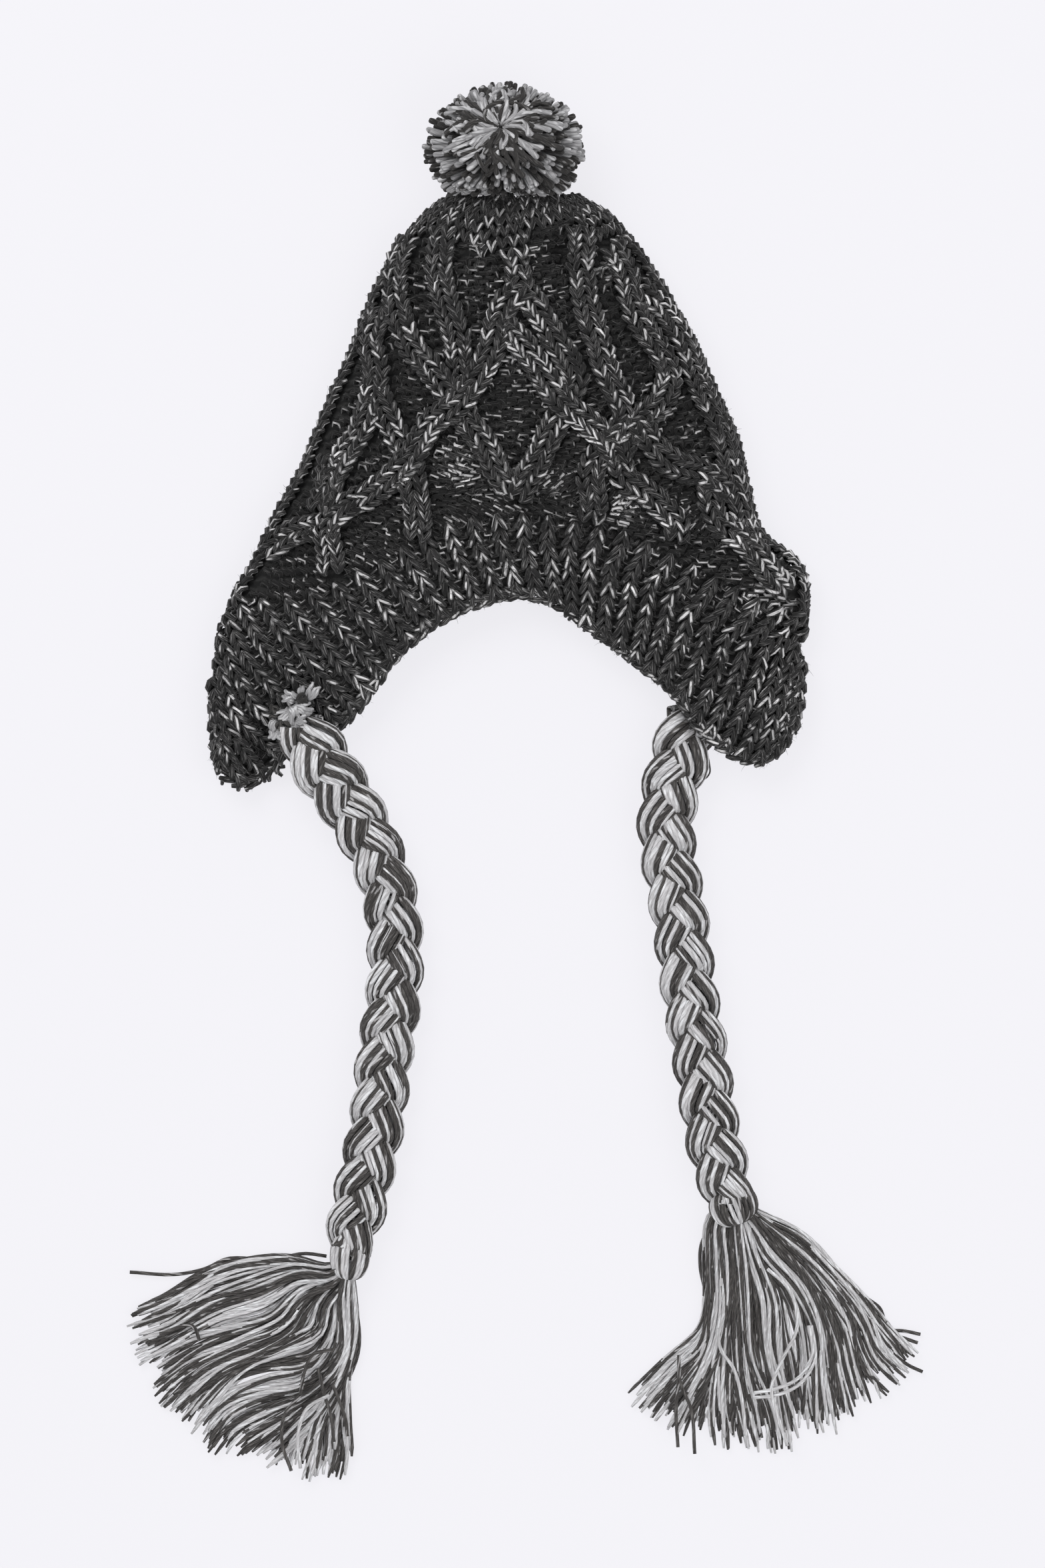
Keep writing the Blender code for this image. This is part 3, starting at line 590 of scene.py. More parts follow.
@dataclass
class YarnMesh:
    """Many yarn tubes joined into one mesh, with the yarn's own run and turn as its UV map.

    Attributes:
        sides: Sides of each tube.
        floor: The lowest height that a tube keeps, or None.
        run_scale: Run of the yarn in its UV map for each metre.
        run_starts: Longest start of a tube along its yarn, in that run.
        own_share: Share of the facing tubes that choose their ply by themselves.
        own_spread: How finely that choice is spread over the plies.
        ply_slip: How far a facing ply turns aside, in turns.
    """

    sides: int = 6
    floor: Optional[float] = None
    run_scale: float = 100.0
    run_starts: float = 400.0
    own_share: float = 0.7
    own_spread: float = 30.0
    ply_slip: float = 0.05
    verts: list = field(default_factory=list)
    quads: list = field(default_factory=list)
    quad_uvs: list = field(default_factory=list)
    caps: list = field(default_factory=list)
    cap_uvs: list = field(default_factory=list)
    slots: list = field(default_factory=list)
    cap_slots: list = field(default_factory=list)
    count: int = 0

    def start_turns(self, tubes: int, seed: int, facing: bool, rng: np.random.Generator) -> Array:
        """Turn at which the plies of each tube start.

        Args:
            tubes: How many tubes.
            seed: Seed of the tubes' own choice of ply.
            facing: Whether one ply of each tube faces along its normal.
            rng: Source of the shared unevenness.

        Returns:
            Turns, as tubes by 1 by 1.
        """
        shape = (tubes, 1, 1)
        start = rng.uniform(0, 1, shape)
        if not facing:
            return start
        own = np.random.default_rng(seed + self.count).uniform(0, 1, shape)
        ply = np.where(own < self.own_share, np.floor(own * self.own_spread) % 3, rng.integers(0, 3, shape))
        return (0.5 + ply) / 3 - 0.25 + rng.normal(0, self.ply_slip, shape)

    def add(
        self, paths: Array, normals: Array, radius: Array, slot: int = 0, seed: int = 0,
        facing: bool = False,
    ) -> None:
        """Lay tubes of yarn.

        Args:
            paths: Centre lines, tubes by points by 3.
            normals: Directions away from the surface there.
            radius: Radii, one or for each tube and point.
            slot: Material slot of these tubes.
            seed: Seed of the yarn's own start along its marl.
            facing: Whether one ply of each tube faces along its normal.
        """
        tubes, points, _ = paths.shape
        if tubes == 0:
            return
        sides = self.sides
        tangent = unit(np.gradient(paths, axis=1))
        side = unit(np.cross(tangent, normals))
        up = np.cross(side, tangent)
        radius = np.broadcast_to(radius, (tubes, points))[..., None, None]
        angle = 2 * math.pi * np.arange(sides) / sides
        ring = np.cos(angle)[:, None] * side[:, :, None, :]
        ring = ring + np.sin(angle)[:, None] * up[:, :, None, :]
        verts = paths[:, :, None, :] + ring * radius
        if self.floor is not None:
            verts[..., 2] = np.maximum(verts[..., 2], self.floor)
        index = self.count + np.arange(tubes * points * sides).reshape(tubes, points, sides)
        beside = np.roll(index, -1, axis=2)
        quads = np.stack([index[:, :-1], index[:, 1:], beside[:, 1:], beside[:, :-1]], axis=-1)
        rng = np.random.default_rng(seed)
        run = np.linalg.norm(np.diff(paths, axis=1), axis=2)
        run = np.concatenate([np.zeros((tubes, 1)), np.cumsum(run, axis=1)], axis=1) * self.run_scale
        run = run + rng.uniform(0, self.run_starts, (tubes, 1))
        start = self.start_turns(tubes, seed, facing, rng)
        turn = (np.arange(sides + 1) / sides)[None, None, :] + start
        corner = np.stack(np.broadcast_arrays(run[:, :, None], turn), axis=-1)
        uvs = np.stack(
            [corner[:, :-1, :-1], corner[:, 1:, :-1], corner[:, 1:, 1:], corner[:, :-1, 1:]], axis=3
        )
        caps = np.concatenate([index[:, 0], index[:, -1, ::-1]])
        ends = np.concatenate([run[:, 0], run[:, -1]])
        cap_uvs = np.stack(np.broadcast_arrays(ends[:, None], angle[None]), axis=-1)
        self.verts.append(verts.reshape(-1, 3))
        self.quads.append(quads.reshape(-1, 4))
        self.quad_uvs.append(uvs.reshape(-1, 2))
        self.slots.append(np.full(quads.size // 4, slot))
        self.caps.append(caps)
        self.cap_uvs.append(cap_uvs.reshape(-1, 2))
        self.cap_slots.append(np.full(len(caps), slot))
        self.count += index.size

    def add_two_yarns(
        self, paths: Array, normals: Array, radius: Array, second: Array, seeds: tuple,
        facing: bool = False,
    ) -> None:
        """Lay tubes of two yarns, each into its own material slot.

        Args:
            paths: Centre lines, tubes by points by 3.
            normals: Directions away from the surface there.
            radius: Radii, one or for each tube and point.
            second: Which tubes are of the second yarn.
            seeds: Seed of the first yarn's tubes and of the second's.
            facing: Whether one ply of each tube faces along its normal.
        """
        radius = np.broadcast_to(radius, paths.shape[:2])
        for slot, (chosen, seed) in enumerate(zip((~second, second), seeds)):
            self.add(paths[chosen], normals[chosen], radius[chosen], slot, seed, facing)

    def build(self, name: str, materials: list) -> bpy.types.Object:
        """Make the joined mesh object.

        Args:
            name: Name of the piece.
            materials: Its material slots.

        Returns:
            The object, linked to the scene.
        """
        quads = np.concatenate(self.quads)
        caps = np.concatenate(self.caps)
        corners = np.concatenate([quads.ravel(), caps.ravel()])
        sizes = np.concatenate([np.full(len(quads), 4), np.full(len(caps), self.sides)])
        mesh = smooth_mesh(name, np.concatenate(self.verts), corners, sizes, materials)
        slots = np.concatenate(self.slots + self.cap_slots)
        mesh.polygons.foreach_set("material_index", slots.astype(np.int32))
        uvs = np.concatenate(self.quad_uvs + self.cap_uvs)
        mesh.uv_layers.new(name=YARN_UV).uv.foreach_set("vector", uvs.astype(np.float32).ravel())
        mesh.validate()
        return link_object(name, mesh)


@dataclass(frozen=True)
class StitchLine:
    """Evenly spaced stitches along one line over the fabric.

    Attributes:
        middle: Middle of each stitch.
        up: Direction of knitting at each.
        normal: Direction out of the fabric at each.
        pitch: Height of one stitch in metres.
    """

    middle: Array
    up: Array
    normal: Array
    pitch: float

    @classmethod
    def spaced(
        cls, places: Array, normals: Array, pitch: float, start: float = 0.5, fewest: int = 1,
        aim_reach: float = 0.002,
    ) -> "StitchLine":
        """Space stitches evenly along a line.

        Args:
            places: Points of the line.
            normals: Directions out of the fabric there.
            pitch: Height that a stitch should have.
            start: Share of a stitch before the middle of the first.
            fewest: The least number of stitches.
            aim_reach: How far before and behind a stitch its direction is read.

        Returns:
            The stitches.
        """
        at = arc_lengths(places)
        count = max(fewest, int(round(at[-1] / pitch)))
        even = (np.arange(count) + start) / count * at[-1]
        ahead = read_line(places, at, even + aim_reach)
        behind = read_line(places, at, even - aim_reach)
        normal = unit(read_line(normals, at, even))
        return cls(read_line(places, at, even), unit(ahead - behind), normal, at[-1] / count)


@dataclass
class Knitter:
    """Lays stitches into a yarn mesh.

    Attributes:
        yarn: The mesh that takes the stitches.
        yarn_width: Width of the yarn in a stitch.
        seed: Seed of the small unevenness.
        width_range: Least and greatest share of its width that a stitch has.
        slip: How far a stitch slips from its place.
        pale_range: Least and greatest stretch of the pale spots' edges.
        path_radii: Radius along a stitch's path, as shares of the yarn's width.
        laid: Centre lines laid so far.
        facing: Directions out of the fabric along them.
    """

    yarn: YarnMesh
    yarn_width: float = 0.0024
    seed: int = 1
    width_range: tuple = (0.94, 1.06)
    slip: float = 0.00022
    pale_range: tuple = (0.75, 1.6)
    path_radii: tuple = (0.38, 0.47, 0.49, 0.34)
    laid: list = field(default_factory=list)
    facing: list = field(default_factory=list)

    def lay(
        self, places: Array, ups: Array, normals: Array, kind: Stitch, width: Array, pitch: Array,
        size: float = 1.0,
    ) -> None:
        """Lay one stitch at each place.

        Args:
            places: Middle of each stitch.
            ups: Direction of knitting at each place.
            normals: Direction out of the fabric.
            kind: Knit or purl face.
            width: Width of each stitch in metres.
            pitch: Height of each stitch in metres.
            size: Share of the full yarn width.
        """
        count = len(places)
        if count == 0:
            return
        rng = np.random.default_rng(self.seed)
        across = unit(np.cross(ups, normals))
        thick = self.yarn_width * size
        width = np.broadcast_to(width, count) * rng.uniform(*self.width_range, count)
        pitch = np.broadcast_to(pitch, count)
        slip = rng.normal(0, self.slip, (count, 1, 3))
        spots = np.array(PALE_SPOTS)[None] / TENTHS
        reach = np.linalg.norm(places[:, None, :2] - spots[..., :2], axis=2)
        reach = reach * rng.uniform(*self.pale_range, (count, 1))
        pale = np.any(reach < spots[..., 2], axis=1)
        for path in kind.value:
            aside, ahead, out = np.array(path).T
            line = places[:, None, :] + across[:, None, :] * (aside * width[:, None])[..., None]
            line = line + ups[:, None, :] * (ahead * pitch[:, None])[..., None]
            line = line + normals[:, None, :] * (out * thick)[None, :, None] + slip
            radius = np.array(self.path_radii) * thick
            facing = np.broadcast_to(normals[:, None, :], line.shape)
            seeds = (self.seed * 7, self.seed * 7 + 1)
            self.yarn.add_two_yarns(line, facing, radius[None, :], pale, seeds, facing=True)
            self.laid.append(line)
            self.facing.append(facing)
        self.seed += 1

    def lay_line(
        self, line: StitchLine, kind: Stitch, width: float, rise: float = 0.0, size: float = 1.0
    ) -> None:
        """Lay the stitches of one line.

        Args:
            line: The stitches' places.
            kind: Knit or purl face.
            width: Width of a stitch in metres.
            rise: How far they stand out of the fabric.
            size: Share of the full yarn width.
        """
        places = line.middle + line.normal * rise
        self.lay(places, line.up, line.normal, kind, width, line.pitch, size)


@dataclass
class Crown:
    """Cable-knit crown: purl ground, travelling cables over it and plain knit at the gathered top."""

    surface: HatSurface
    row_pitch: float = 0.0034
    stitch_width: float = 0.0048
    top_width: float = 0.0037
    cable_width: float = 0.0052
    cable_rise: float = 0.0022
    crossing_rise: float = 0.0017
    ground_drop: float = -0.0014
    fold_drop: float = -0.0020
    plain_from: float = 0.85
    plain_wave: float = 0.035
    plain_waves: float = 11.0
    side_inset: float = 0.0021
    edge_inset: float = 0.0010
    cable_points: int = 160
    cable_ends: tuple = (0.012, 0.988)
    cable_sink: float = 0.75
    cable_sink_reach: float = 0.05
    cable_tilt: float = 0.55
    cable_cover: float = 0.80
    fold_drop_reach: float = 0.03
    row_offset: float = 0.3
    row_levels: tuple = (0.002, 0.995)
    row_waves: tuple = ((0.009, 24.0, 0.3), (0.004, 61.0, 0.9))
    edge_levels: tuple = (-0.94, 0.985)

    def plain_level(self, along: Array) -> Array:
        """Level at which the plain knit of the top starts, which waves across the crown."""
        return self.plain_from + self.plain_wave * np.sin(along * self.plain_waves)

    def cable_lines(self) -> list:
        """Trace the centre lines of the cables.

        Returns:
            For each cable, rows of place, along, level and rise.
        """
        lines = []
        for chart in CABLES:
            knots = np.array([(along, level, *rise, 0)[:3] for along, level, *rise in chart])
            knots = knots / (THOUSANDTHS, THOUSANDTHS, 1)
            places = self.surface.point(knots[:, 0], knots[:, 1], Layer.FRONT)
            lines.append(resample(np.column_stack([places, knots]), self.cable_points))
        return lines

    def knit_cables(self, knitter: Knitter, lines: list, layer: Layer) -> None:
        """Lay the two stitch columns of every cable.

        Args:
            knitter: Lays the stitches.
            lines: Rows of place, along, level and rise.
            layer: The layer that they lie on.
        """
        for line in lines:
            line = line[line[:, 4] < self.plain_level(line[:, 3])]
            along, level, rise = line[:, 3], line[:, 4], line[:, 5]
            along = np.clip(along, *self.cable_ends)
            from_fold = np.minimum(along, 1 - along)
            normals = self.surface.normal(along, level, layer)
            lift = self.cable_rise + self.crossing_rise * rise
            lift = lift * (1 - self.cable_sink * np.exp(-(from_fold / self.cable_sink_reach) ** 2))
            places = self.surface.point(along, level, layer) + normals * lift[:, None]
            cable = StitchLine.spaced(places, normals, self.row_pitch, fewest=2)
            side = unit(np.cross(cable.up, cable.normal))
            for share in (-0.5, 0.5):
                place = cable.middle + side * share * self.cable_width
                tilt = unit(cable.normal + side * share * self.cable_tilt)
                knitter.lay(place, cable.up, tilt, Stitch.KNIT, self.cable_width, cable.pitch)

    def ground_cells(self, layer: Layer) -> tuple:
        """Places of the ground's stitches, row by row.

        Args:
            layer: The layer that they lie on.

        Returns:
            Arrays of along, level and width.
        """
        along_all, level_all, width_all = [], [], []
        spread = np.linspace(0, 1, 60)
        middle = self.surface.point(np.array([0.5, 0.5]), np.array([0.0, 1.0]), layer)
        rows = int(round(np.linalg.norm(middle[1] - middle[0]) / self.row_pitch))
        lowest, highest = self.row_levels
        for row in range(rows + 1):
            level = min((row + self.row_offset) / rows, highest)
            reach = arc_lengths(self.surface.point(spread, np.full(60, level), layer))
            width = self.stitch_width + (self.top_width - self.stitch_width) * level
            count = int(round(reach[-1] / width))
            even = (np.arange(count) + 0.25 + 0.5 * (row % 2)) / count * reach[-1]
            along = np.interp(even, reach, spread)
            wave = sum(high * np.sin(along * waves + row * drift) for high, waves, drift in self.row_waves)
            along_all.append(along)
            level_all.append(np.clip(level + wave * min(1, level * 12), lowest, highest))
            width_all.append(np.full(count, reach[-1] / count))
        return np.concatenate(along_all), np.concatenate(level_all), np.concatenate(width_all)

    def knit_ground(self, knitter: Knitter, top: Knitter, lines: list, layer: Layer) -> None:
        """Lay the purl ground between the cables and the plain rows at the top.

        Args:
            knitter: Lays the ground's stitches.
            top: Lays the plain rows.
            lines: The cables that hide the ground under them.
            layer: The layer that it lies on.
        """
        along, level, width = self.ground_cells(layer)
        places = self.surface.point(along, level, layer)
        normals = self.surface.normal(along, level, layer)
        up = unit(self.surface.point(along, level + 0.004, layer) - places)
        near = np.full(len(places), 1.0)
        for line in lines:
            gap = np.linalg.norm(places[:, None, :2] - line[None, ::3, :2], axis=-1).min(axis=1)
            near = np.minimum(near, gap)
        bare = near > self.cable_width * self.cable_cover
        plain = level > self.plain_level(along)
        from_fold = np.minimum(along, 1 - along)
        right = self.surface.point(np.ones_like(along), level, layer)
        left = self.surface.point(np.zeros_like(along), level, layer)
        room = from_fold * np.abs((right - left)[:, 0])
        purl = bare & ~plain & (room > self.side_inset + self.stitch_width * 0.75)
        sunk = self.ground_drop + self.fold_drop * np.exp(-(from_fold / self.fold_drop_reach) ** 2)
        for row, mask, kind, depth, wide, size in (
            (knitter, purl, Stitch.PURL, 1.0, 1.0, 0.96),
            (top, plain, Stitch.KNIT, 0.5, 1.1, 0.9),
        ):
            laid = (places + normals * (sunk * depth)[:, None])[mask]
            row.lay(laid, up[mask], normals[mask], kind, width[mask] * wide, self.row_pitch, size)

    def knit_edges(self, knitter: Knitter) -> None:
        """Lay the stitch column on the very edge of each side fold, from the flap to the top.

        Args:
            knitter: Lays the stitches.
        """
        level = np.linspace(*self.edge_levels, 200)
        for along, outward in ((0.0, -1.0), (1.0, 1.0)):
            edge = self.surface.point(np.full(200, along), level, Layer.FRONT)
            run = unit(np.gradient(edge, axis=0))
            normals = -unit(to_the_left(run)) * outward
            line = StitchLine.spaced(edge - normals * self.edge_inset, normals, self.row_pitch)
            knitter.lay_line(line, Stitch.KNIT, self.stitch_width * 1.15)

    def knit_sides(self, knitter: Knitter, layer: Layer) -> None:
        """Lay the stitch column that turns over each side fold.

        Args:
            knitter: Lays the stitches.
            layer: The layer that they lie on.
        """
        level = np.linspace(0.01, self.plain_from, 120)
        left = self.surface.point(np.zeros(120), level, layer)
        right = self.surface.point(np.ones(120), level, layer)
        inset = self.side_inset / np.abs(right - left)[:, 0]
        for along in (inset, 1 - inset):
            places = self.surface.point(along, level, layer)
            normals = self.surface.normal(along, level, layer)
            line = StitchLine.spaced(places, normals, self.row_pitch)
            knitter.lay_line(line, Stitch.KNIT, self.stitch_width)

    def build(self, finishes: "Finishes", knitters: dict) -> list:
        """Build the crown's pieces.

        Args:
            finishes: The hat's finishes.
            knitters: Takes each layer's knitters, for the fuzz.

        Returns:
            The pieces.
        """
        pieces = []
        lines = self.cable_lines()
        front = YarnMesh(sides=6)
        ground = Knitter(front, seed=11)
        over = YarnMesh(sides=6)
        cables = Knitter(over, seed=31)
        self.knit_ground(ground, cables, lines, Layer.FRONT)
        # The ground's stitches take the charcoal yarn darkened with painted shade
        pieces.append(front.build("crown_ground_front", [finishes.ground, finishes.pale]))
        self.knit_cables(cables, lines, Layer.FRONT)
        self.knit_sides(cables, Layer.FRONT)
        pieces.append(over.build("crown_cables_front", [finishes.charcoal, finishes.pale]))
        under = YarnMesh(sides=5, floor=0.0)
        back = Knitter(under, seed=51)
        self.knit_ground(back, back, lines, Layer.BACK)
        self.knit_cables(back, lines, Layer.BACK)
        self.knit_sides(back, Layer.BACK)
        self.knit_edges(back)
        pieces.append(under.build("crown_back", [finishes.charcoal, finishes.pale]))
        knitters[Layer.FRONT] += [ground, cables]
        knitters[Layer.BACK] += [back]
        return pieces


@dataclass
class RibbedBand:
    """Ribbed band and ear flaps: knit ribs and sunk purl columns that run square to the free edge."""

    surface: HatSurface
    columns: int = 49
    enter_left: float = -14.0
    enter_right: float = 11.5
    row_pitch: float = 0.0042
    rib_width: float = 0.0056
    rib_rise: float = 0.0005
    purl_drop: float = -0.0020
    purl_width: float = 0.70
    purl_size: float = 0.8
    fewest_points: int = 8
    ends: tuple = (0.004, 0.996)
    cast_off_pitch: float = 0.0046
    cast_off_level: float = -0.992
    cast_off_drop: float = 0.0004

    def column_line(self, column: float, layer: Layer) -> Optional[tuple]:
        """Places and normals down one column, from the seam or a side fold to the free edge.

        Args:
            column: Number of the column, where 0 meets the left fold at the seam.
            layer: The layer that it lies on.

        Returns:
            Places and normals, or None where the column is off the hat.
        """
        down = np.linspace(0.0, 1.0, 90)
        left = self.enter_left * down
        right = self.columns + self.enter_right * down
        along = (column - left) / (right - left)
        keep = (along >= self.ends[0]) & (along <= self.ends[1])
        if keep.sum() < self.fewest_points:
            return None
        along = along[keep]
        down = down[keep]
        places = self.surface.point(along, -down, layer)
        normals = self.surface.normal(along, -down, layer)
        return places, normals

    def knit_layer(self, knitter: Knitter, layer: Layer) -> None:
        """Lay every column of one layer.

        Args:
            knitter: Lays the stitches.
            layer: The layer that they lie on.
        """
        first = int(self.enter_left)
        last = int(self.columns + self.enter_right) + 1
        for column in range(first, last):
            line = self.column_line(column + 0.5, layer)
            if line is None:
                continue
            ribs = StitchLine.spaced(*line, self.row_pitch, start=0.55)
            if column % 2 == 0:
                knitter.lay_line(ribs, Stitch.KNIT, self.rib_width, self.rib_rise)
            else:
                narrow = self.rib_width * self.purl_width
                knitter.lay_line(ribs, Stitch.PURL, narrow, self.purl_drop, self.purl_size)

    def knit_edge(self, knitter: Knitter, layer: Layer) -> None:
        """Lay the cast-off loops along the free edge.

        Args:
            knitter: Lays the stitches.
            layer: The layer that they lie on.
        """
        spread = np.linspace(*self.ends, 400)
        at = arc_lengths(self.surface.point(spread, np.full(400, -1.0), layer))
        count = int(round(at[-1] / self.cast_off_pitch))
        even = (np.arange(count) + 0.5) / count * at[-1]
        along = np.interp(even, at, spread)
        level = np.full(count, self.cast_off_level)
        places = self.surface.point(along, level, layer)
        normals = self.surface.normal(along, level, layer)
        after = self.surface.point(np.clip(along + 0.004, 0, 1), level, layer)
        low = places - normals * self.cast_off_drop
        pitch = at[-1] / count
        knitter.lay(low, -unit(after - places), normals, Stitch.KNIT, self.cast_off_pitch, pitch)

    def build(self, finishes: "Finishes", knitters: dict) -> list:
        """Build the band's front and back.

        Args:
            finishes: The hat's finishes.
            knitters: Takes each layer's knitters, for the fuzz.

        Returns:
            The pieces.
        """
        pieces = []
        for layer, name, sides, floor in (
            (Layer.FRONT, "band_front", 6, None),
            (Layer.BACK, "band_back", 5, 0.0),
        ):
            yarn = YarnMesh(sides=sides, floor=floor)
            knitter = Knitter(yarn, seed=71 + sides)
            self.knit_layer(knitter, layer)
            self.knit_edge(knitter, layer)
            pieces.append(yarn.build(name, [finishes.charcoal, finishes.pale]))
            knitters[layer].append(knitter)
        return pieces


@dataclass
class Lining:
    """The cloth body under the stitches: the open bag that the head goes into."""

    surface: HatSurface
    wall: float = 0.0022
    depth: float = 0.0024
    columns: int = 60
    band_levels: tuple = (-0.985, -0.05, 22)
    crown_levels: tuple = (0.0, 0.99, 34)
    bunching: float = 0.35
    pole_drop: float = 0.0015
    pole_rings: tuple = (0.35, 0.7)

    def build(self, finishes: "Finishes") -> bpy.types.Object:
        """Build the bag from the free edge to the gathered top.

        Args:
            finishes: The hat's finishes.

        Returns:
            The piece.
        """
        levels = np.concatenate([np.linspace(*self.band_levels), np.linspace(*self.crown_levels)])
        spread = np.linspace(0, 1, self.columns + 1)
        spread = spread - self.bunching * np.sin(2 * math.pi * spread) / (2 * math.pi)
        rings = []
        for level in levels:
            at = np.full(self.columns + 1, level)
            ring = []
            for along, layer in ((spread, Layer.FRONT), (spread[::-1], Layer.BACK)):
                face = self.surface.point(along, at, layer)
                ring.append((face - self.surface.normal(along, at, layer) * self.depth)[:-1])
            rings.append(np.concatenate(ring))
        rim = rings[-1]
        pole = np.array([rim[:, 0].mean(), self.surface.top_y - self.pole_drop, rim[:, 2].mean()])
        for share in self.pole_rings:
            ring = rim + (pole - rim) * share
            ring[:, 1] = np.maximum(ring[:, 1], pole[1])
            rings.append(ring)
        verts = np.concatenate(rings + [pole[None]])
        count = 2 * self.columns
        faces = []
        for low in range(0, (len(rings) - 1) * count, count):
            for column in range(count):
                here, beside = low + column, low + (column + 1) % count
                faces.append((here, beside, beside + count, here + count))
        top = (len(rings) - 1) * count
        faces += [(top + column, top + (column + 1) % count, len(verts) - 1) for column in range(count)]
        mesh = bpy.data.meshes.new("hat_lining")
        mesh.from_pydata([tuple(vert) for vert in verts], [], faces)
        mesh.materials.append(finishes.lining)
        mesh.shade_smooth()
        lining = link_object("hat_lining", mesh)
        over_hollow = Vector((0, 0, 0.03))
        middle = min(mesh.polygons, key=lambda face: (face.center - over_hollow).length)
        if middle.normal.z < 0:
            mesh.flip_normals()
        wall = lining.modifiers.new("wall", "SOLIDIFY")
        wall.thickness = self.wall
        wall.offset = -1
        return lining


@dataclass
class Pompom:
    """Pompom of cut yarn, whose near strands part round the tie in its middle."""

    centre: tuple = (-0.0020, 0.1043, 0.0225)
    half_size: tuple = (0.0300, 0.0246, 0.0222)
    parting: tuple = (-0.050, 0.315, 0.948)
    foot_y: float = 0.0868
    strands: int = 1050
    petals: int = 120
    strand_aims: tuple = (30.0, 179.0)
    petal_aims: tuple = (20.0, 50.0)
    yarn_radius: float = 0.00094
    shares: tuple = (0.0, 0.25, 0.5, 0.7, 0.85, 0.95, 0.985, 1.0)
    radii: tuple = (0.6, 0.85, 0.98, 1.0, 1.04, 1.08, 0.95, 0.5)
    seed: int = 5

    def aims(self, count: int, nearest: float, farthest: float, rng: np.random.Generator) -> Array:
        """Directions spread round the parting.

        Args:
            count: How many directions.
            nearest: Smallest angle from the parting in degrees.
            farthest: Largest angle from it in degrees.
            rng: Source of the unevenness.

        Returns:
            Unit directions.
        """
        pole = unit(np.array(self.parting))
        east = unit(np.cross(pole, np.array([0.0, 1.0, 0.0])))
        north = np.cross(east, pole)
        turn = np.arange(count) * GOLDEN_ANGLE + rng.normal(0, 0.10, count)
        low, high = math.cos(math.radians(farthest)), math.cos(math.radians(nearest))
        height = high + (low - high) * (np.arange(count) + 0.5) / count
        height = np.clip(height + rng.normal(0, 0.02, count), -0.999, 0.999)
        level = east * np.cos(turn)[:, None] + north * np.sin(turn)[:, None]
        return pole * height[:, None] + level * np.sqrt(1 - height ** 2)[:, None]

    def lay(self, yarn: YarnMesh, paths: Array, dark: Array, seed: int) -> None:
        """Turn paths in shares of the ball into blunt cut strands.

        Args:
            yarn: The mesh that takes them.
            paths: Paths in shares of the half sizes.
            dark: Which strands are dark.
            seed: Seed of their marl.
        """
        rng = np.random.default_rng(seed)
        centre = np.array(self.centre)
        places = centre + paths * np.array(self.half_size)
        foot = self.foot_y + rng.uniform(0, 0.0022, (len(places), 1))
        foot = foot + 0.0012 * np.abs(places[..., 2] - 0.03) / 0.02
        places[..., 1] = np.maximum(places[..., 1], foot)
        places[..., 2] = np.maximum(places[..., 2], self.yarn_radius)
        facing = unit(places - centre + np.array([0.0, 0.0, 0.01]))
        radius = self.yarn_radius * np.array(self.radii)[None, :]
        radius = radius * rng.uniform(0.85, 1.12, (len(places), 1))
        yarn.add_two_yarns(places, facing, radius, dark, (seed, seed + 1))

    def patches(self, aims: Array, first: tuple, second: tuple) -> Array:
        """Waves over the ball that gather its dark strands in patches."""
        return np.sin(aims @ np.array(first)) + np.sin(aims @ np.array(second))

    def build(self, finishes: "Finishes") -> bpy.types.Object:
        """Build the pompom.

        Args:
            finishes: The hat's finishes.

        Returns:
            The piece.
        """
        rng = np.random.default_rng(self.seed)
        yarn = YarnMesh(sides=6, floor=0.0)
        share = np.array(self.shares)[None, :, None]
        pole = unit(np.array(self.parting))
        aims = self.aims(self.strands, *self.strand_aims, rng)
        reach = rng.uniform(0.88, 1.03, self.strands)[:, None, None]
        near = np.clip((aims @ pole - 0.3) / 0.6, 0, 1)[:, None, None]
        lean = pole * near * 0.9 * (1 - share)
        bent = unit(aims[:, None, :] + lean + rng.normal(0, 0.05, (self.strands, 1, 3)))
        paths = bent * (0.12 + 0.88 * share) * (reach - 0.10 * near)
        patch = self.patches(aims, (17.0, 5.0, 3.0), (-6.0, 15.0, 9.0))
        dark = patch + rng.normal(0, 1.0, self.strands) > -0.05
        self.lay(yarn, paths, dark, self.seed + 1)
        aims = self.aims(self.petals, *self.petal_aims, rng)
        over = rng.uniform(0.0, 0.06, self.petals)[:, None, None]
        angle = np.arccos(np.clip(aims @ pole, -1, 1))[:, None, None] * (0.10 + 0.90 * share)
        around = unit(aims - pole * (aims @ pole)[:, None])[:, None, :]
        swerve = rng.normal(0, 0.10, (self.petals, 1, 1))
        swerve = np.cross(pole, around) * swerve * np.sin(share * math.pi)
        paths = pole * np.cos(angle) + around * np.sin(angle) + swerve
        paths = paths * (0.80 + over + 0.16 * share ** 0.6)
        patch = self.patches(around[:, 0], (9.0, 2.0, 0.0), (-3.0, 11.0, 0.0))
        dark = patch + rng.normal(0, 0.8, self.petals) > 0.05
        self.lay(yarn, paths, dark, self.seed + 4)
        return yarn.build("pompom_yarn", [finishes.cut_yarn, finishes.dark_cut_yarn])


def striped(count: int, dark_share: float, rng: np.random.Generator) -> Array:
    """Which of a row of yarns are dark, in runs of one to three as they were laid together.

    Args:
        count: How many yarns.
        dark_share: Share of dark ones.
        rng: Source of the order.

    Returns:
        One truth value a yarn.
    """
    dark = []
    shade = bool(rng.random() < dark_share)
    while len(dark) < count:
        longest = 3 if rng.random() < (dark_share if shade else 1 - dark_share) else 2
        dark += [shade] * int(rng.integers(1, longest + 1))
        shade = not shade
    return np.array(dark[:count])


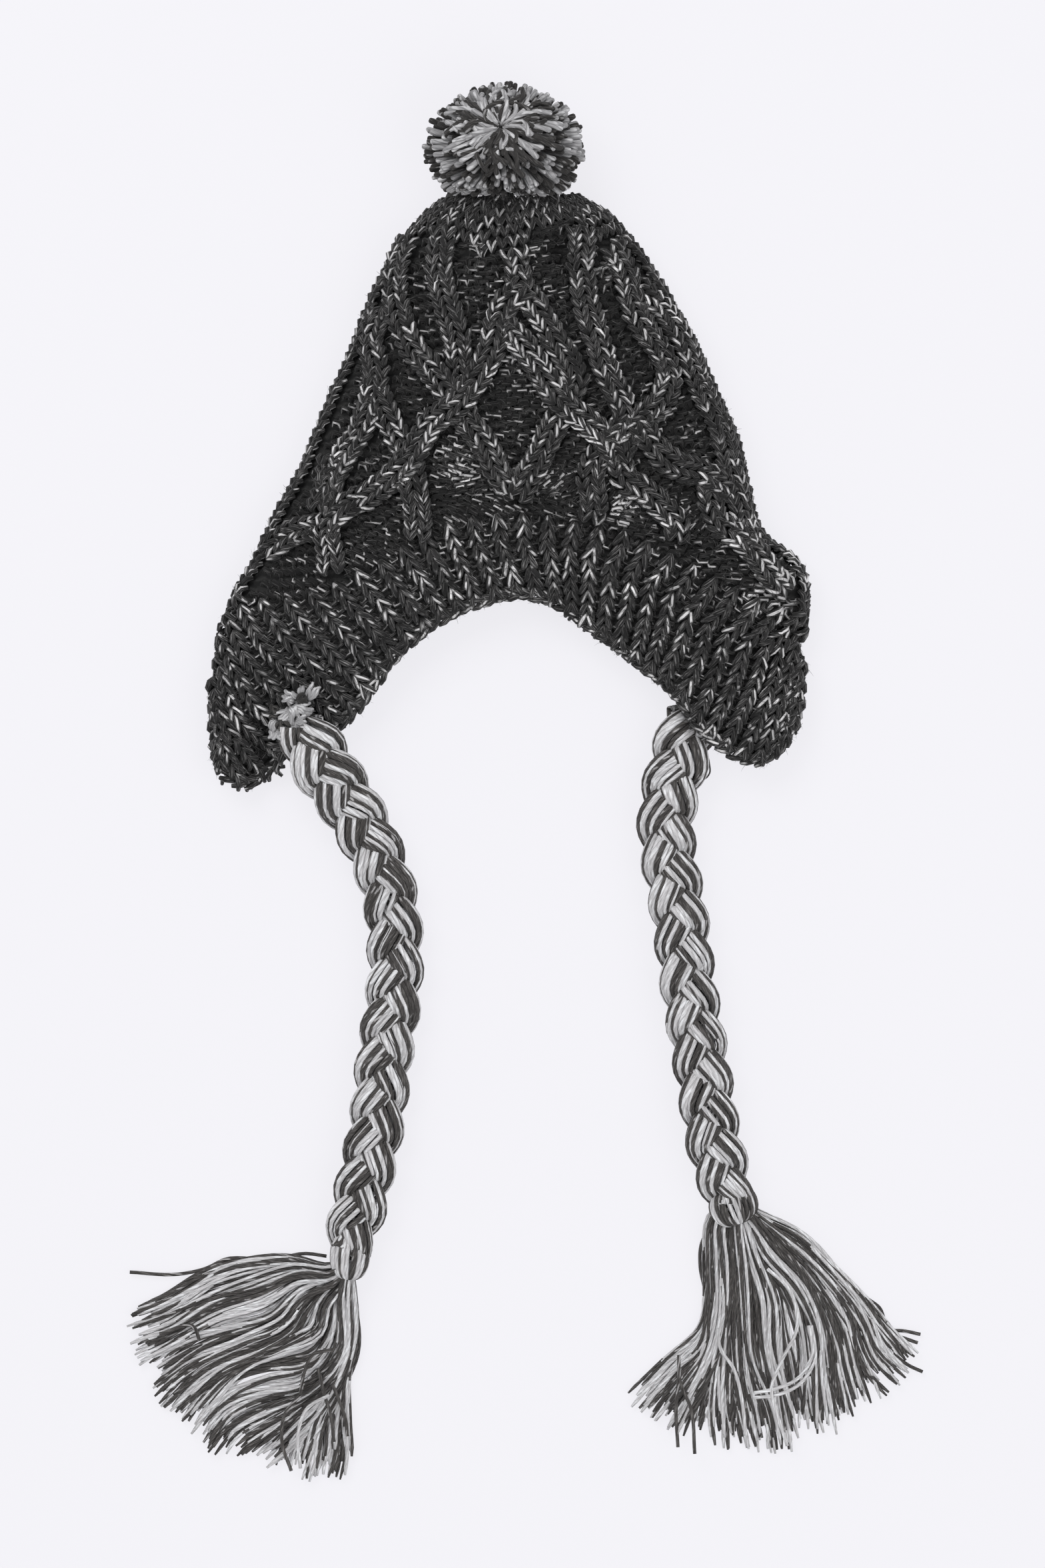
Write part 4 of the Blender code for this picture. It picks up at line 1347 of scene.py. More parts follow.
@dataclass
class Braid:
    """Braid of three strands of yarns, from its knot at the flap to its tassel."""

    side: Side
    route: tuple
    seed: int
    width: float = 0.022
    period: float = 0.0452
    sway: float = 0.0053
    lift: float = 0.0038
    plumpness: float = 0.14
    strand_half_width: float = 0.0056
    strand_half_depth: float = 0.0036
    yarns: int = 26
    yarn_radius: float = 0.00078
    start_share: float = 0.94
    start_taper: float = 0.014
    end_share: float = 0.80
    end_taper: float = 0.014
    start_phase: float = 0.0
    swell: float = 1.0
    swell_run: float = 0.060
    dark_share: float = 0.60
    points: int = 100
    zigzag_blunting: float = 14.0
    plump_lead: float = 0.35
    turn_slip: float = 0.06
    sway_turn: float = 0.09
    sway_waves: float = 16.0
    sway_range: tuple = (0.6, 1.4)
    rise_slip: float = 0.0003
    radius_range: tuple = (0.88, 1.15)
    loose_loop: tuple = ()
    loop_radius: float = 0.0003
    loop_points: int = 24

    def centre_line(self) -> Array:
        """Even points along the braid."""
        return resample(np.array(self.route) / TENTHS, self.points)

    def spread(self, run: Array, length: float) -> Array:
        """Share of the braid's full width along its run.

        Args:
            run: Distances from the knot end.
            length: Length of the braid.

        Returns:
            One share for each distance.
        """
        start = np.clip(run / self.start_taper, 0, 1)
        end = np.clip((length - run) / self.end_taper, 0, 1)
        wide = self.start_share + (1 - self.start_share) * start * start * (3 - 2 * start)
        wide = wide * (self.swell + (1 - self.swell) * np.clip(run / self.swell_run, 0, 1))
        return wide * (self.end_share + (1 - self.end_share) * end * end * (3 - 2 * end))

    def strand(self, index: int) -> tuple:
        """Centre line and girth of one strand, which is plump where it passes over the others.

        Args:
            index: Which of the three strands.

        Returns:
            Points and girth shares.
        """
        line = self.centre_line()
        run = arc_lengths(line)
        aside = to_the_left(unit(np.gradient(line, axis=0) * np.array([1, 1, 0])))
        spread = self.spread(run, run[-1])
        phase = self.start_phase + 2 * math.pi * (run / self.period + index / 3)
        zigzag = np.sin(phase) - np.sin(3 * phase) / self.zigzag_blunting
        points = line + aside * (self.sway * spread * zigzag)[:, None]
        points[:, 2] = points[:, 2] + self.lift * spread * np.sin(2 * phase)
        return points, spread * (1 + self.plumpness * np.sin(2 * phase + self.plump_lead))

    def lay_strand(self, yarn: YarnMesh, index: int) -> None:
        """Lay the yarns of one strand round its flat oval.

        Args:
            yarn: The mesh that takes them.
            index: Which of the three strands.
        """
        rng = np.random.default_rng(self.seed + index)
        points, girth = self.strand(index)
        along = unit(np.gradient(points, axis=0))
        side = unit(np.cross(along, UPWARDS))
        up = np.cross(side, along)
        each = (self.yarns, 1)
        turn = 2 * math.pi * (np.arange(self.yarns) + 0.3 * index) / self.yarns
        turn = turn[:, None] + rng.normal(0, self.turn_slip, each)
        waves = np.linspace(0, self.sway_waves, len(points))[None, :]
        waves = waves * rng.uniform(*self.sway_range, each) + turn * 3
        turn = turn + self.sway_turn * np.sin(waves)
        out = (self.strand_half_width - self.yarn_radius) * np.cos(turn) * girth[None, :]
        rise = (self.strand_half_depth - self.yarn_radius) * np.sin(turn) * girth[None, :]
        rise = rise + rng.uniform(-self.rise_slip, self.rise_slip, each) * np.cos(waves)
        paths = points[None] + side[None] * out[..., None] + up[None] * rise[..., None]
        normals = side[None] * np.cos(turn)[..., None] + up[None] * np.sin(turn)[..., None]
        radius = self.yarn_radius * girth[None, :] * rng.uniform(*self.radius_range, each)
        dark = striped(self.yarns, self.dark_share, rng)
        yarn.add_two_yarns(paths, normals, radius, dark, (self.seed * 3 + index,) * 2)

    def build(self, finishes: "Finishes") -> bpy.types.Object:
        """Build the braid.

        Args:
            finishes: The hat's finishes.

        Returns:
            The piece.
        """
        yarn = YarnMesh(sides=6, floor=0.0)
        for index in range(3):
            self.lay_strand(yarn, index)
        if self.loose_loop:
            loop = resample(np.array(self.loose_loop) / TENTHS, self.loop_points)[None]
            yarn.add(loop, np.broadcast_to(UPWARDS, loop.shape), self.loop_radius, 1, self.seed)
        return yarn.build("braid_yarn_" + self.side.value, [finishes.light_yarn, finishes.dark_yarn])


@dataclass
class Tassel:
    """Fanned end of a tie: locks of loose yarns that spread over the surface, and a few strays."""

    side: Side
    locks: tuple
    strays: tuple
    root: tuple
    seed: int
    yarns: int = 13
    under_yarns: int = 8
    yarn_radius: float = 0.00072
    lock_sway: float = 0.0015
    neck_half: float = 0.0012
    tip_half: float = 0.0052
    depth: float = 0.0120
    lie_depth: float = 0.0036
    points: int = 26
    stray_points: int = 30
    lane_slip: float = 0.10
    pinch: float = 0.45
    yarn_sway: float = 0.0011
    order_share: float = 0.55
    ripple: float = 0.0004
    dark_share: float = 0.55
    under_cut: float = 0.05
    cut_range: tuple = (0.88, 1.0)
    cut_radii: tuple = (1.08, 0.6)
    radius_range: tuple = (0.85, 1.15)

    def lay_lock(self, yarn: YarnMesh, route: Array, index: int, yarns: int, under: bool) -> None:
        """Lay the yarns of one lock side by side, each with its own sway.

        Args:
            yarn: The mesh that takes them.
            route: Its path as x and y.
            index: Number of the lock.
            yarns: How many yarns it has.
            under: Whether it lies under the others.
        """
        rng = np.random.default_rng(self.seed * 50 + index)
        each = (yarns, 1)
        knots = np.column_stack([np.vstack([self.root, route]), np.zeros(len(route) + 1)])
        line = resample(knots, self.points)
        run = np.linspace(0, 1, self.points)
        share = run[None, :]
        aside = to_the_left(unit(np.gradient(line, axis=0)))
        sway = rng.normal(0, self.lock_sway) * np.sin(run * rng.uniform(5, 9) + rng.uniform(0, 6)) * run
        line = line + aside * (sway * (1.15 - run))[:, None]
        lane = (np.arange(yarns) + 0.5) / yarns * 2 - 1
        lane = (lane + rng.normal(0, self.lane_slip, yarns))[:, None]
        half = self.neck_half + (self.tip_half - self.neck_half) * share ** 0.8
        pinch = 1 - self.pinch * np.exp(-((share - rng.uniform(0.45, 0.7)) / 0.16) ** 2)
        swing = rng.normal(0, self.yarn_sway, each)
        swing = swing * np.sin(share * rng.uniform(5, 9) + rng.uniform(0, 6))
        out = lane * half * pinch + swing * share ** 0.7
        paths = line[None] + aside[None] * out[..., None]
        layer = rng.permutation(yarns)[:, None] / (yarns - 1)
        heap = self.depth + (self.lie_depth - self.depth) * np.clip(share * 1.5, 0, 1) ** 0.75
        order = 0.0 if under else 0.25 + 0.75 * ((index * 7) % len(self.locks)) / (len(self.locks) - 1)
        stack = self.order_share * order + (1 - self.order_share) * layer
        height = self.yarn_radius + (heap - 2 * self.yarn_radius) * stack
        paths[..., 2] = height + self.ripple * np.sin(share * 11 + layer * 20)
        cut = rng.uniform(*self.cut_range, yarns) - (self.under_cut if under else 0.0)
        for row in range(yarns):
            paths[row] = read_line(paths[row], run, np.linspace(0, cut[row], self.points))
        radius = self.yarn_radius * np.append(np.ones(self.points - 2), self.cut_radii)[None, :]
        radius = radius * rng.uniform(*self.radius_range, each)
        facing = np.broadcast_to(UPWARDS, paths.shape)
        dark = striped(yarns, self.dark_share, rng)
        yarn.add_two_yarns(paths, facing, radius, dark, (self.seed * 9 + index,) * 2)

    def build(self, finishes: "Finishes") -> bpy.types.Object:
        """Build the tassel.

        Args:
            finishes: The hat's finishes.

        Returns:
            The piece.
        """
        yarn = YarnMesh(sides=5, floor=0.0)
        routes = np.array(self.locks) / TENTHS
        for index, route in enumerate(routes):
            self.lay_lock(yarn, route, index, self.yarns, False)
        for index, route in enumerate((routes[1:] + routes[:-1]) / 2):
            self.lay_lock(yarn, route, len(routes) + index, self.under_yarns, True)
        for index, (slot, height, points) in enumerate(self.strays):
            rows = np.array([(x, y, height) for x, y in points]) / TENTHS
            line = resample(rows + UPWARDS * self.yarn_radius, self.stray_points)[None]
            facing = np.broadcast_to(UPWARDS, line.shape)
            yarn.add(line, facing, self.yarn_radius, slot, self.seed + index)
        return yarn.build("tassel_yarn_" + self.side.value, [finishes.light_yarn, finishes.dark_yarn])


@dataclass
class TieEnd:
    """Rounded end of a braid, wrapped over by its own yarns, above the tassel."""

    side: Side
    centre: tuple
    heading: float
    half_length: float
    half_width: float
    half_depth: float
    dark_share: float
    seed: int
    yarns: int = 18
    yarn_radius: float = 0.00086
    reach: float = 0.47
    points: int = 15
    wrap: float = 1.9
    turn_slip: float = 0.04
    radius_range: tuple = (0.9, 1.15)

    def build(self, finishes: "Finishes") -> bpy.types.Object:
        """Build the lobe of yarns from pole to pole.

        Args:
            finishes: The hat's finishes.

        Returns:
            The piece.
        """
        rng = np.random.default_rng(self.seed)
        yarn = YarnMesh(sides=6, floor=0.0)
        each = (self.yarns, 1)
        reach = np.linspace(-self.reach, self.reach, self.points)[None, :] * math.pi
        turn = np.linspace(-self.wrap, self.wrap, self.yarns)[:, None]
        turn = turn + rng.normal(0, self.turn_slip, each)
        axis = heading_vector(self.heading)
        girth = np.cos(reach) ** 0.6
        run = (np.sin(reach) * self.half_length)[..., None] * axis
        out = (np.sin(turn) * girth * self.half_width)[..., None] * to_the_left(axis)
        rise = (np.cos(turn) * girth * self.half_depth)[..., None] * UPWARDS
        paths = np.array(self.centre) + run + out + rise
        radius = self.yarn_radius * rng.uniform(*self.radius_range, each)
        dark = striped(self.yarns, self.dark_share, rng)
        yarn.add_two_yarns(paths, unit(out + rise + 1e-6), radius, dark, (self.seed, self.seed + 1))
        return yarn.build("tie_end_" + self.side.value, [finishes.light_yarn, finishes.dark_yarn])


@dataclass
class Knot:
    """Short cut ends and loops of yarn that hold a tie to its flap."""

    side: Side
    tufts: tuple
    height: float
    seed: int
    yarn_radius: float = 0.00066
    strands: int = 5
    strand_gap: float = 0.0006
    bend: float = 0.0014
    ripple: float = 0.0004
    arch: float = 0.0022
    loft: float = 0.0012
    step: float = 0.0001
    shares: tuple = (0.0, 0.2, 0.45, 0.7, 0.88, 0.97, 1.0)
    radii: tuple = (0.8, 1.0, 1.1, 1.15, 1.1, 0.9, 0.5)

    def build(self, finishes: "Finishes") -> bpy.types.Object:
        """Build the knot from its charted tufts.

        Args:
            finishes: The hat's finishes.

        Returns:
            The piece.
        """
        rng = np.random.default_rng(self.seed)
        yarn = YarnMesh(sides=7, floor=0.0)
        share = np.array(self.shares)
        radii = self.yarn_radius * np.array(self.radii)[None]
        for index, (x, y, heading, full, dark) in enumerate(self.tufts):
            x, y, full = x / TENTHS, y / TENTHS, full / TENTHS
            aim = heading_vector(heading)
            aside = to_the_left(aim)
            for strand in range(self.strands):
                bend = rng.normal(0, self.bend) * share ** 2
                out = (strand - 2) * self.strand_gap + bend
                out = out + self.ripple * np.sin(share * 7 + index + strand)
                reach = full * rng.uniform(0.7, 1.05)
                height = self.height + self.arch * np.sin(share * 2.6)
                height = height + rng.uniform(0, self.loft) + self.step * index
                across = x + aim[0] * share * reach + aside[0] * out
                up = y + aim[1] * share * reach + aside[1] * out
                path = np.stack([across, up, height], axis=-1)[None]
                facing = np.broadcast_to(np.array([0.05, 0.0, 1.0]), path.shape)
                yarn.add(path, facing, radii * rng.uniform(0.85, 1.1), dark, self.seed + index)
        return yarn.build("knot_yarn_" + self.side.value, [finishes.cut_yarn, finishes.dark_cut_yarn])


@dataclass
class Tie:
    """One whole tie: its braid, tassel, rounded end and the knot that holds it to its flap."""

    braid: Braid
    tassel: Tassel
    end: TieEnd
    knot: Knot

    def build(self, finishes: "Finishes") -> None:
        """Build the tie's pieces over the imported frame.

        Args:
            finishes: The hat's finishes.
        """
        side = self.braid.side.value
        parts = (self.braid, self.tassel, self.knot, self.end)
        braid, tassel, knot, end = [report(part.build(finishes)) for part in parts]
        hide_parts(*["braid_" + side + "_" + strand for strand in "abc"])
        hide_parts("tassel_" + side)
        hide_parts("knot_" + side)
        for piece in (braid, tassel, knot, end):
            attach(piece, "root")
        line = self.braid.centre_line()
        float(arc_lengths(line)[-1])


@dataclass
class Fuzz:
    """Loose fibres that stand off the knitting, as one mesh of fine ribbons."""

    name: str
    count: int
    seed: int
    half_width: float = 0.00007
    length_range: tuple = (0.0018, 0.0046)
    rise: float = 0.0006
    rise_range: tuple = (0.15, 1.0)
    flattest: float = 0.55
    turn: float = 0.75
    curl: float = 0.35
    sunk_share: float = 0.92
    lowest: float = 0.0002
    widths: tuple = (1.0, 1.0, 0.8, 0.3)

    def build(self, paths: Array, facing: Array, radius: float, finishes: "Finishes") -> bpy.types.Object:
        """Scatter the fibres over laid yarn.

        Args:
            paths: Yarn centre lines, as yarns by points by 3.
            facing: Directions away from the fabric, of the same shape.
            radius: Radius of the yarn.
            finishes: The hat's finishes.

        Returns:
            The piece.
        """
        rng = np.random.default_rng(self.seed)
        each = (self.count, 1)
        chosen = rng.choice(np.flatnonzero(np.abs(facing[:, 0, 2]) > self.flattest), self.count)
        at = rng.integers(0, paths.shape[1] - 1, self.count)
        share = rng.uniform(0, 1, each)
        start = paths[chosen, at] * (1 - share) + paths[chosen, at + 1] * share
        normal = unit(facing[chosen, at])
        along = unit(paths[chosen, at + 1] - paths[chosen, at])
        turn = rng.normal(0, self.turn, each)
        aim = along * np.cos(turn) + np.cross(normal, along) * np.sin(turn)
        bow = np.cross(normal, aim)
        length = rng.uniform(*self.length_range, each)
        lift = rng.uniform(*self.rise_range, each) * self.rise
        curl = rng.normal(0, self.curl, each) * length
        spine = []
        for step in np.linspace(0, 1, len(self.widths)):
            out = normal * (radius * self.sunk_share + lift * math.sin(step * 2.2))
            spine.append(start + out + aim * length * (step - 0.3) + bow * curl * step ** 2)
        spine = np.stack(spine, axis=1)
        spine[..., 2] = np.maximum(spine[..., 2], self.lowest)
        edge = bow[:, None, :] * (self.half_width * np.array(self.widths)[None, :, None])
        verts = np.stack([spine - edge, spine + edge], axis=2).reshape(-1, 3)
        index = np.arange(len(verts)).reshape(self.count, -1, 2)
        quads = np.stack([index[:, :-1, 0], index[:, 1:, 0], index[:, 1:, 1], index[:, :-1, 1]], axis=-1)
        sizes = np.full(quads.size // 4, 4)
        mesh = smooth_mesh(self.name, verts, quads.ravel(), sizes, [finishes.fuzz])
        return link_object(self.name, mesh)


@dataclass(frozen=True)
class NodeWriter:
    """Adds nodes to one node tree and links them."""

    tree: bpy.types.NodeTree

    def feed(self, socket: Socket, value: Feed) -> None:
        """Link an input to an output socket, or set it to a plain value.

        Args:
            socket: The input.
            value: An output socket, a number or a colour.
        """
        if isinstance(value, Socket):
            self.tree.links.new(value, socket)
        else:
            socket.default_value = value

    def node(self, kind: str, inputs: dict) -> bpy.types.Node:
        """Add a node.

        Args:
            kind: Its type, without the words that all shader nodes start with.
            inputs: What feeds its inputs, by their names.

        Returns:
            The node.
        """
        node = self.tree.nodes.new("ShaderNode" + kind)
        for name, value in inputs.items():
            self.feed(node.inputs[name], value)
        return node

    def math(self, kind: str, *values: Feed) -> Socket:
        """Add a math node.

        Args:
            kind: The operation.
            values: What feeds its inputs, in their order.

        Returns:
            The result.
        """
        node = self.node("Math", {})
        node.operation = kind
        for socket, value in zip(node.inputs, values):
            self.feed(socket, value)
        return node.outputs[0]

    def clamp(self, value: Socket) -> Socket:
        """Hold a value between 0 and 1."""
        return self.node("Clamp", {"Value": value}).outputs[0]

    def noise(self, place: Socket, scale: float, detail: float) -> Socket:
        """Noise at a place."""
        return self.node("TexNoise", {"Vector": place, "Scale": scale, "Detail": detail}).outputs["Fac"]

    def running_noise(
        self, first: Socket, second: Socket, far: float, wide: float, detail: float
    ) -> Socket:
        """Noise over two values that run on.

        Args:
            first: The first value.
            second: The second value.
            far: Times that the first is read at.
            wide: Times that the second is read at.
            detail: Detail of the noise.

        Returns:
            The noise.
        """
        place = {"X": self.math("MULTIPLY", first, far), "Y": self.math("MULTIPLY", second, wide)}
        return self.noise(self.node("CombineXYZ", place).outputs[0], 1.0, detail)

    def mix(self, kind: str, factor: Feed, first: Feed, second: Feed) -> Socket:
        """Mix two colours.

        Args:
            kind: How they blend.
            factor: Share of the second one.
            first: The first colour.
            second: The second colour.

        Returns:
            The mixed colour.
        """
        node = self.node("Mix", {})
        node.data_type = "RGBA"
        node.blend_type = kind
        for name, value in (("Factor", factor), ("A", first), ("B", second)):
            self.feed(node.inputs[name], value)
        return node.outputs["Result"]


@dataclass(frozen=True)
class PliedYarnEffect:
    """Effect of plied yarn: its twist, its light flecks, its fibres and the shade painted into the grooves
    between its plies.

    The yarn's UV map gives its run in centimetres and its turn. Each noise is given as the times
    that it reads the run and the turn at, and its detail.
    """

    plies: float = 3.0
    fibre_noise: tuple = (4.0, 5.0, 3.0)
    hair_noise: tuple = (2.4, 5.5, 2.0)
    fleck_noise: tuple = (1.5, 7.3, 1.0)
    shade_scale: float = 0.35
    fleck_sharpness: float = 16.0
    fleck_raggedness: float = 2.0
    edge_sharpness: float = 12.0
    edge_raggedness: float = 0.22
    hair_level: float = 0.52
    hair_sharpness: float = 7.0
    groove_shade_level: float = 0.7
    fibre_shade: float = 1.1
    fibre_height: float = 0.8
    roughness: tuple = (0.25, 0.70)

    def sockets(self, group: bpy.types.NodeTree) -> None:
        """Give the group its named inputs and outputs.

        Args:
            group: The node group.
        """
        for way, kind, names in (
            ("INPUT", "NodeSocketColor", ("Base", "Hair", "Fleck")),
            ("INPUT", "NodeSocketFloat", ("Fleck Level", "Fleck Width", "Twist", "Groove Depth And Shade", "Shade Spread")),
            ("OUTPUT", "NodeSocketColor", ("Colour",)),
            ("OUTPUT", "NodeSocketFloat", ("Height", "Roughness")),
        ):
            for name in names:
                group.interface.new_socket(name, in_out=way, socket_type=kind)

    def group(self) -> bpy.types.NodeTree:
        """Build the node group.

        Returns:
            The group, which puts out a colour, a height and a roughness.
        """
        group = bpy.data.node_groups.new("plied_yarn", "ShaderNodeTree")
        self.sockets(group)
        write = NodeWriter(group)
        given = group.nodes.new("NodeGroupInput").outputs
        result = group.nodes.new("NodeGroupOutput").inputs
        uv = write.node("UVMap", {})
        uv.uv_map = YARN_UV
        run, turn, _ = write.node("SeparateXYZ", {"Vector": uv.outputs["UV"]}).outputs
        phase = write.math("MULTIPLY_ADD", turn, self.plies, write.math("MULTIPLY", run, given["Twist"]))
        within = write.math("FRACT", phase)
        rounded = write.math("SINE", write.math("MULTIPLY", within, math.pi))
        ply = write.math("FLOOR", write.math("FLOORED_MODULO", phase, self.plies))
        fibres = write.running_noise(run, phase, *self.fibre_noise)
        ragged = write.math("SUBTRACT", fibres, 0.5)
        patches = write.running_noise(run, ply, *self.fleck_noise)
        lasting = write.math("SUBTRACT", patches, given["Fleck Level"])
        lasting = write.math("MULTIPLY", lasting, self.fleck_sharpness)
        lasting = write.clamp(write.math("MULTIPLY_ADD", ragged, self.fleck_raggedness, lasting))
        off_centre = write.math("ABSOLUTE", write.math("SUBTRACT", within, 0.5))
        narrow = write.math("SUBTRACT", given["Fleck Width"], off_centre)
        narrow = write.math("MULTIPLY_ADD", ragged, self.edge_raggedness, narrow)
        narrow = write.clamp(write.math("MULTIPLY", narrow, self.edge_sharpness))
        hairs = write.running_noise(run, phase, *self.hair_noise)
        hairs = write.math("SUBTRACT", hairs, self.hair_level)
        hairs = write.clamp(write.math("MULTIPLY", hairs, self.hair_sharpness))
        colour = write.mix("MIX", hairs, given["Base"], given["Hair"])
        colour = write.mix("MIX", write.math("MULTIPLY", lasting, narrow), colour, given["Fleck"])
        slow = write.node("TexNoise", {"Scale": self.shade_scale})
        slow.noise_dimensions = "1D"
        write.feed(slow.inputs["W"], run)
        drift = write.math("SUBTRACT", slow.outputs["Fac"], 0.5)
        drift = write.math("MULTIPLY", drift, given["Shade Spread"])
        # Painted shade: the colour darkens towards the grooves between the plies
        groove = write.math("SUBTRACT", rounded, self.groove_shade_level)
        groove = write.math("MULTIPLY", groove, given["Groove Depth And Shade"])
        shade = write.math("MULTIPLY_ADD", ragged, self.fibre_shade, 1.0)
        shade = write.math("ADD", shade, write.math("ADD", drift, groove))
        grey = write.node("CombineColor", {"Red": shade, "Green": shade, "Blue": shade})
        write.feed(result["Colour"], write.mix("MULTIPLY", 1.0, colour, grey.outputs[0]))
        height = write.math("MULTIPLY", rounded, given["Groove Depth And Shade"])
        height = write.math("MULTIPLY_ADD", fibres, self.fibre_height, height)
        write.feed(result["Height"], height)
        write.feed(result["Roughness"], write.math("MULTIPLY_ADD", fibres, *self.roughness))
        return group


def new_material(name: str, values: dict) -> tuple:
    """Make a material with one Principled shader.

    Args:
        name: Name of the material.
        values: Even values of the shader's inputs, by their names.

    Returns:
        The material, the writer of its nodes and the shader's inputs.
    """
    material = bpy.data.materials.new(name)
    material.use_nodes = True
    sockets = material.node_tree.nodes["Principled BSDF"].inputs
    for socket, value in values.items():
        sockets[socket].default_value = value
    return material, NodeWriter(material.node_tree), sockets


@dataclass(frozen=True)
class YarnFinish:
    """Matt wool yarn of a base colour, with paler hairs and a light ply that shows in flecks."""

    name: str
    base: tuple
    hair: tuple
    fleck: tuple
    fleck_level: float
    fleck_width: float
    twist: float = 0.0
    # Depth of the ply grooves in the bump, and strength of the shade painted into them
    groove: float = 0.25
    shade_spread: float = 1.8
    bump: float = 0.0006
    bump_strength: float = 0.8
    specular: float = 0.2
    sheen: float = 0.08
    sheen_roughness: float = 0.5

    def material(self, group: bpy.types.NodeTree) -> bpy.types.Material:
        """Make the material.

        Args:
            group: The plied yarn effect.

        Returns:
            The material.
        """
        material, write, shader = new_material(self.name, {
            "Specular IOR Level": self.specular,
            "Sheen Weight": self.sheen,
            "Sheen Roughness": self.sheen_roughness,
        })
        yarn = write.node("Group", {})
        yarn.node_tree = group
        for name, value in (
            ("Base", (*self.base, 1)), ("Hair", (*self.hair, 1)), ("Fleck", (*self.fleck, 1)),
            ("Fleck Level", self.fleck_level), ("Fleck Width", self.fleck_width),
            ("Twist", self.twist), ("Groove Depth And Shade", self.groove), ("Shade Spread", self.shade_spread),
        ):
            yarn.inputs[name].default_value = value
        relief = {"Strength": self.bump_strength, "Distance": self.bump, "Height": yarn.outputs["Height"]}
        write.feed(shader["Base Color"], yarn.outputs["Colour"])
        write.feed(shader["Roughness"], yarn.outputs["Roughness"])
        write.feed(shader["Normal"], write.node("Bump", relief).outputs["Normal"])
        return material


@dataclass(frozen=True)
class FuzzFinish:
    """Loose wool fibres, each between dark and pale."""

    name: str
    dark: tuple
    pale: tuple
    scale: float = 240.0
    detail: float = 2.0
    levels: tuple = (0.42, 0.72)
    roughness: float = 0.85
    specular: float = 0.15

    def material(self) -> bpy.types.Material:
        """Make the material.

        Returns:
            The material.
        """
        even = {"Roughness": self.roughness, "Specular IOR Level": self.specular}
        material, write, shader = new_material(self.name, even)
        place = write.node("TexCoord", {}).outputs["Object"]
        shade = write.noise(place, self.scale, self.detail)
        low, high = self.levels
        share = write.node("MapRange", {"Value": shade, "From Min": low, "From Max": high})
        colour = write.mix("MIX", share.outputs["Result"], (*self.dark, 1), (*self.pale, 1))
        write.feed(shader["Base Color"], colour)
        return material


@dataclass(frozen=True)
class ClothFinish:
    """Inside of the knitting, seen between the stitches and in the head opening."""

    name: str
    dark: tuple
    light: tuple
    row_scale: float = 92.0
    row_waver: float = 5.0
    row_detail: float = 2.0
    row_detail_scale: float = 2.2
    fibre_scale: float = 900.0
    fibre_detail: float = 3.0
    bump: float = 0.0012
    bump_strength: float = 0.9
    roughness: float = 0.9
    specular: float = 0.2

    def material(self) -> bpy.types.Material:
        """Make the material.

        Returns:
            The material.
        """
        even = {"Roughness": self.roughness, "Specular IOR Level": self.specular}
        material, write, shader = new_material(self.name, even)
        place = write.node("TexCoord", {}).outputs["Object"]
        rows = write.node("TexWave", {
            "Vector": place, "Scale": self.row_scale, "Distortion": self.row_waver,
            "Detail": self.row_detail, "Detail Scale": self.row_detail_scale,
        })
        rows.wave_type = "BANDS"
        rows.bands_direction = "Y"
        fibres = write.noise(place, self.fibre_scale, self.fibre_detail)
        share = write.math("MULTIPLY", rows.outputs["Fac"], fibres)
        relief = {"Strength": self.bump_strength, "Distance": self.bump, "Height": share}
        write.feed(shader["Base Color"], write.mix("MIX", share, (*self.dark, 1), (*self.light, 1)))
        write.feed(shader["Normal"], write.node("Bump", relief).outputs["Normal"])
        return material


class Finishes:
    """Every finish of the hat, made once."""

    def __init__(self) -> None:
        """Make the yarn effect and the materials that use it."""
        group = PliedYarnEffect().group()
        self.charcoal = YarnFinish(
            "charcoal_yarn", (0.016, 0.0155, 0.0155), (0.170, 0.165, 0.163), (0.50, 0.49, 0.49),
            fleck_level=0.535, fleck_width=0.22,
        ).material(group)
        # Darker copy of the charcoal yarn for the sunk purl ground: its darker base, hairs and flecks are
        # painted shade for the hollows between the cables; its flecks are also fewer
        self.ground = YarnFinish(
            "charcoal_ground_painted_shade", (0.0085, 0.0082, 0.0082), (0.058, 0.056, 0.055), (0.40, 0.39, 0.39),
            fleck_level=0.565, fleck_width=0.20,
        ).material(group)
        self.pale = YarnFinish(
            "charcoal_yarn_pale_ply", (0.018, 0.0175, 0.0175), (0.180, 0.175, 0.173), (0.56, 0.55, 0.55),
            fleck_level=0.455, fleck_width=0.26,
        ).material(group)
        self.cut_yarn = YarnFinish(
            "cut_grey_yarn", (0.30, 0.295, 0.30), (0.42, 0.415, 0.42), (0.50, 0.495, 0.50),
            fleck_level=0.50, fleck_width=0.40, twist=1.6, groove=0.30, shade_spread=0.7, bump=0.0004,
        ).material(group)
        self.dark_cut_yarn = YarnFinish(
            "dark_cut_yarn", (0.030, 0.028, 0.027), (0.085, 0.081, 0.078), (0.20, 0.195, 0.195),
            fleck_level=0.60, fleck_width=0.25, twist=1.6, groove=0.40, shade_spread=0.8, bump=0.0004,
        ).material(group)
        self.light_yarn = YarnFinish(
            "light_grey_yarn", (0.52, 0.51, 0.515), (0.63, 0.62, 0.63), (0.68, 0.68, 0.69),
            fleck_level=0.50, fleck_width=0.40, twist=1.6, groove=0.30, shade_spread=0.5, bump=0.0004,
        ).material(group)
        self.dark_yarn = YarnFinish(
            "dark_grey_yarn", (0.050, 0.046, 0.044), (0.160, 0.151, 0.145), (0.32, 0.31, 0.31),
            fleck_level=0.60, fleck_width=0.25, twist=1.6, groove=0.40, shade_spread=0.8, bump=0.0004,
        ).material(group)
        self.fuzz = FuzzFinish("charcoal_fuzz", (0.020, 0.0195, 0.019), (0.16, 0.157, 0.155)).material()
        self.lining = ClothFinish("knit_inside", (0.012, 0.012, 0.012), (0.055, 0.054, 0.053)).material()


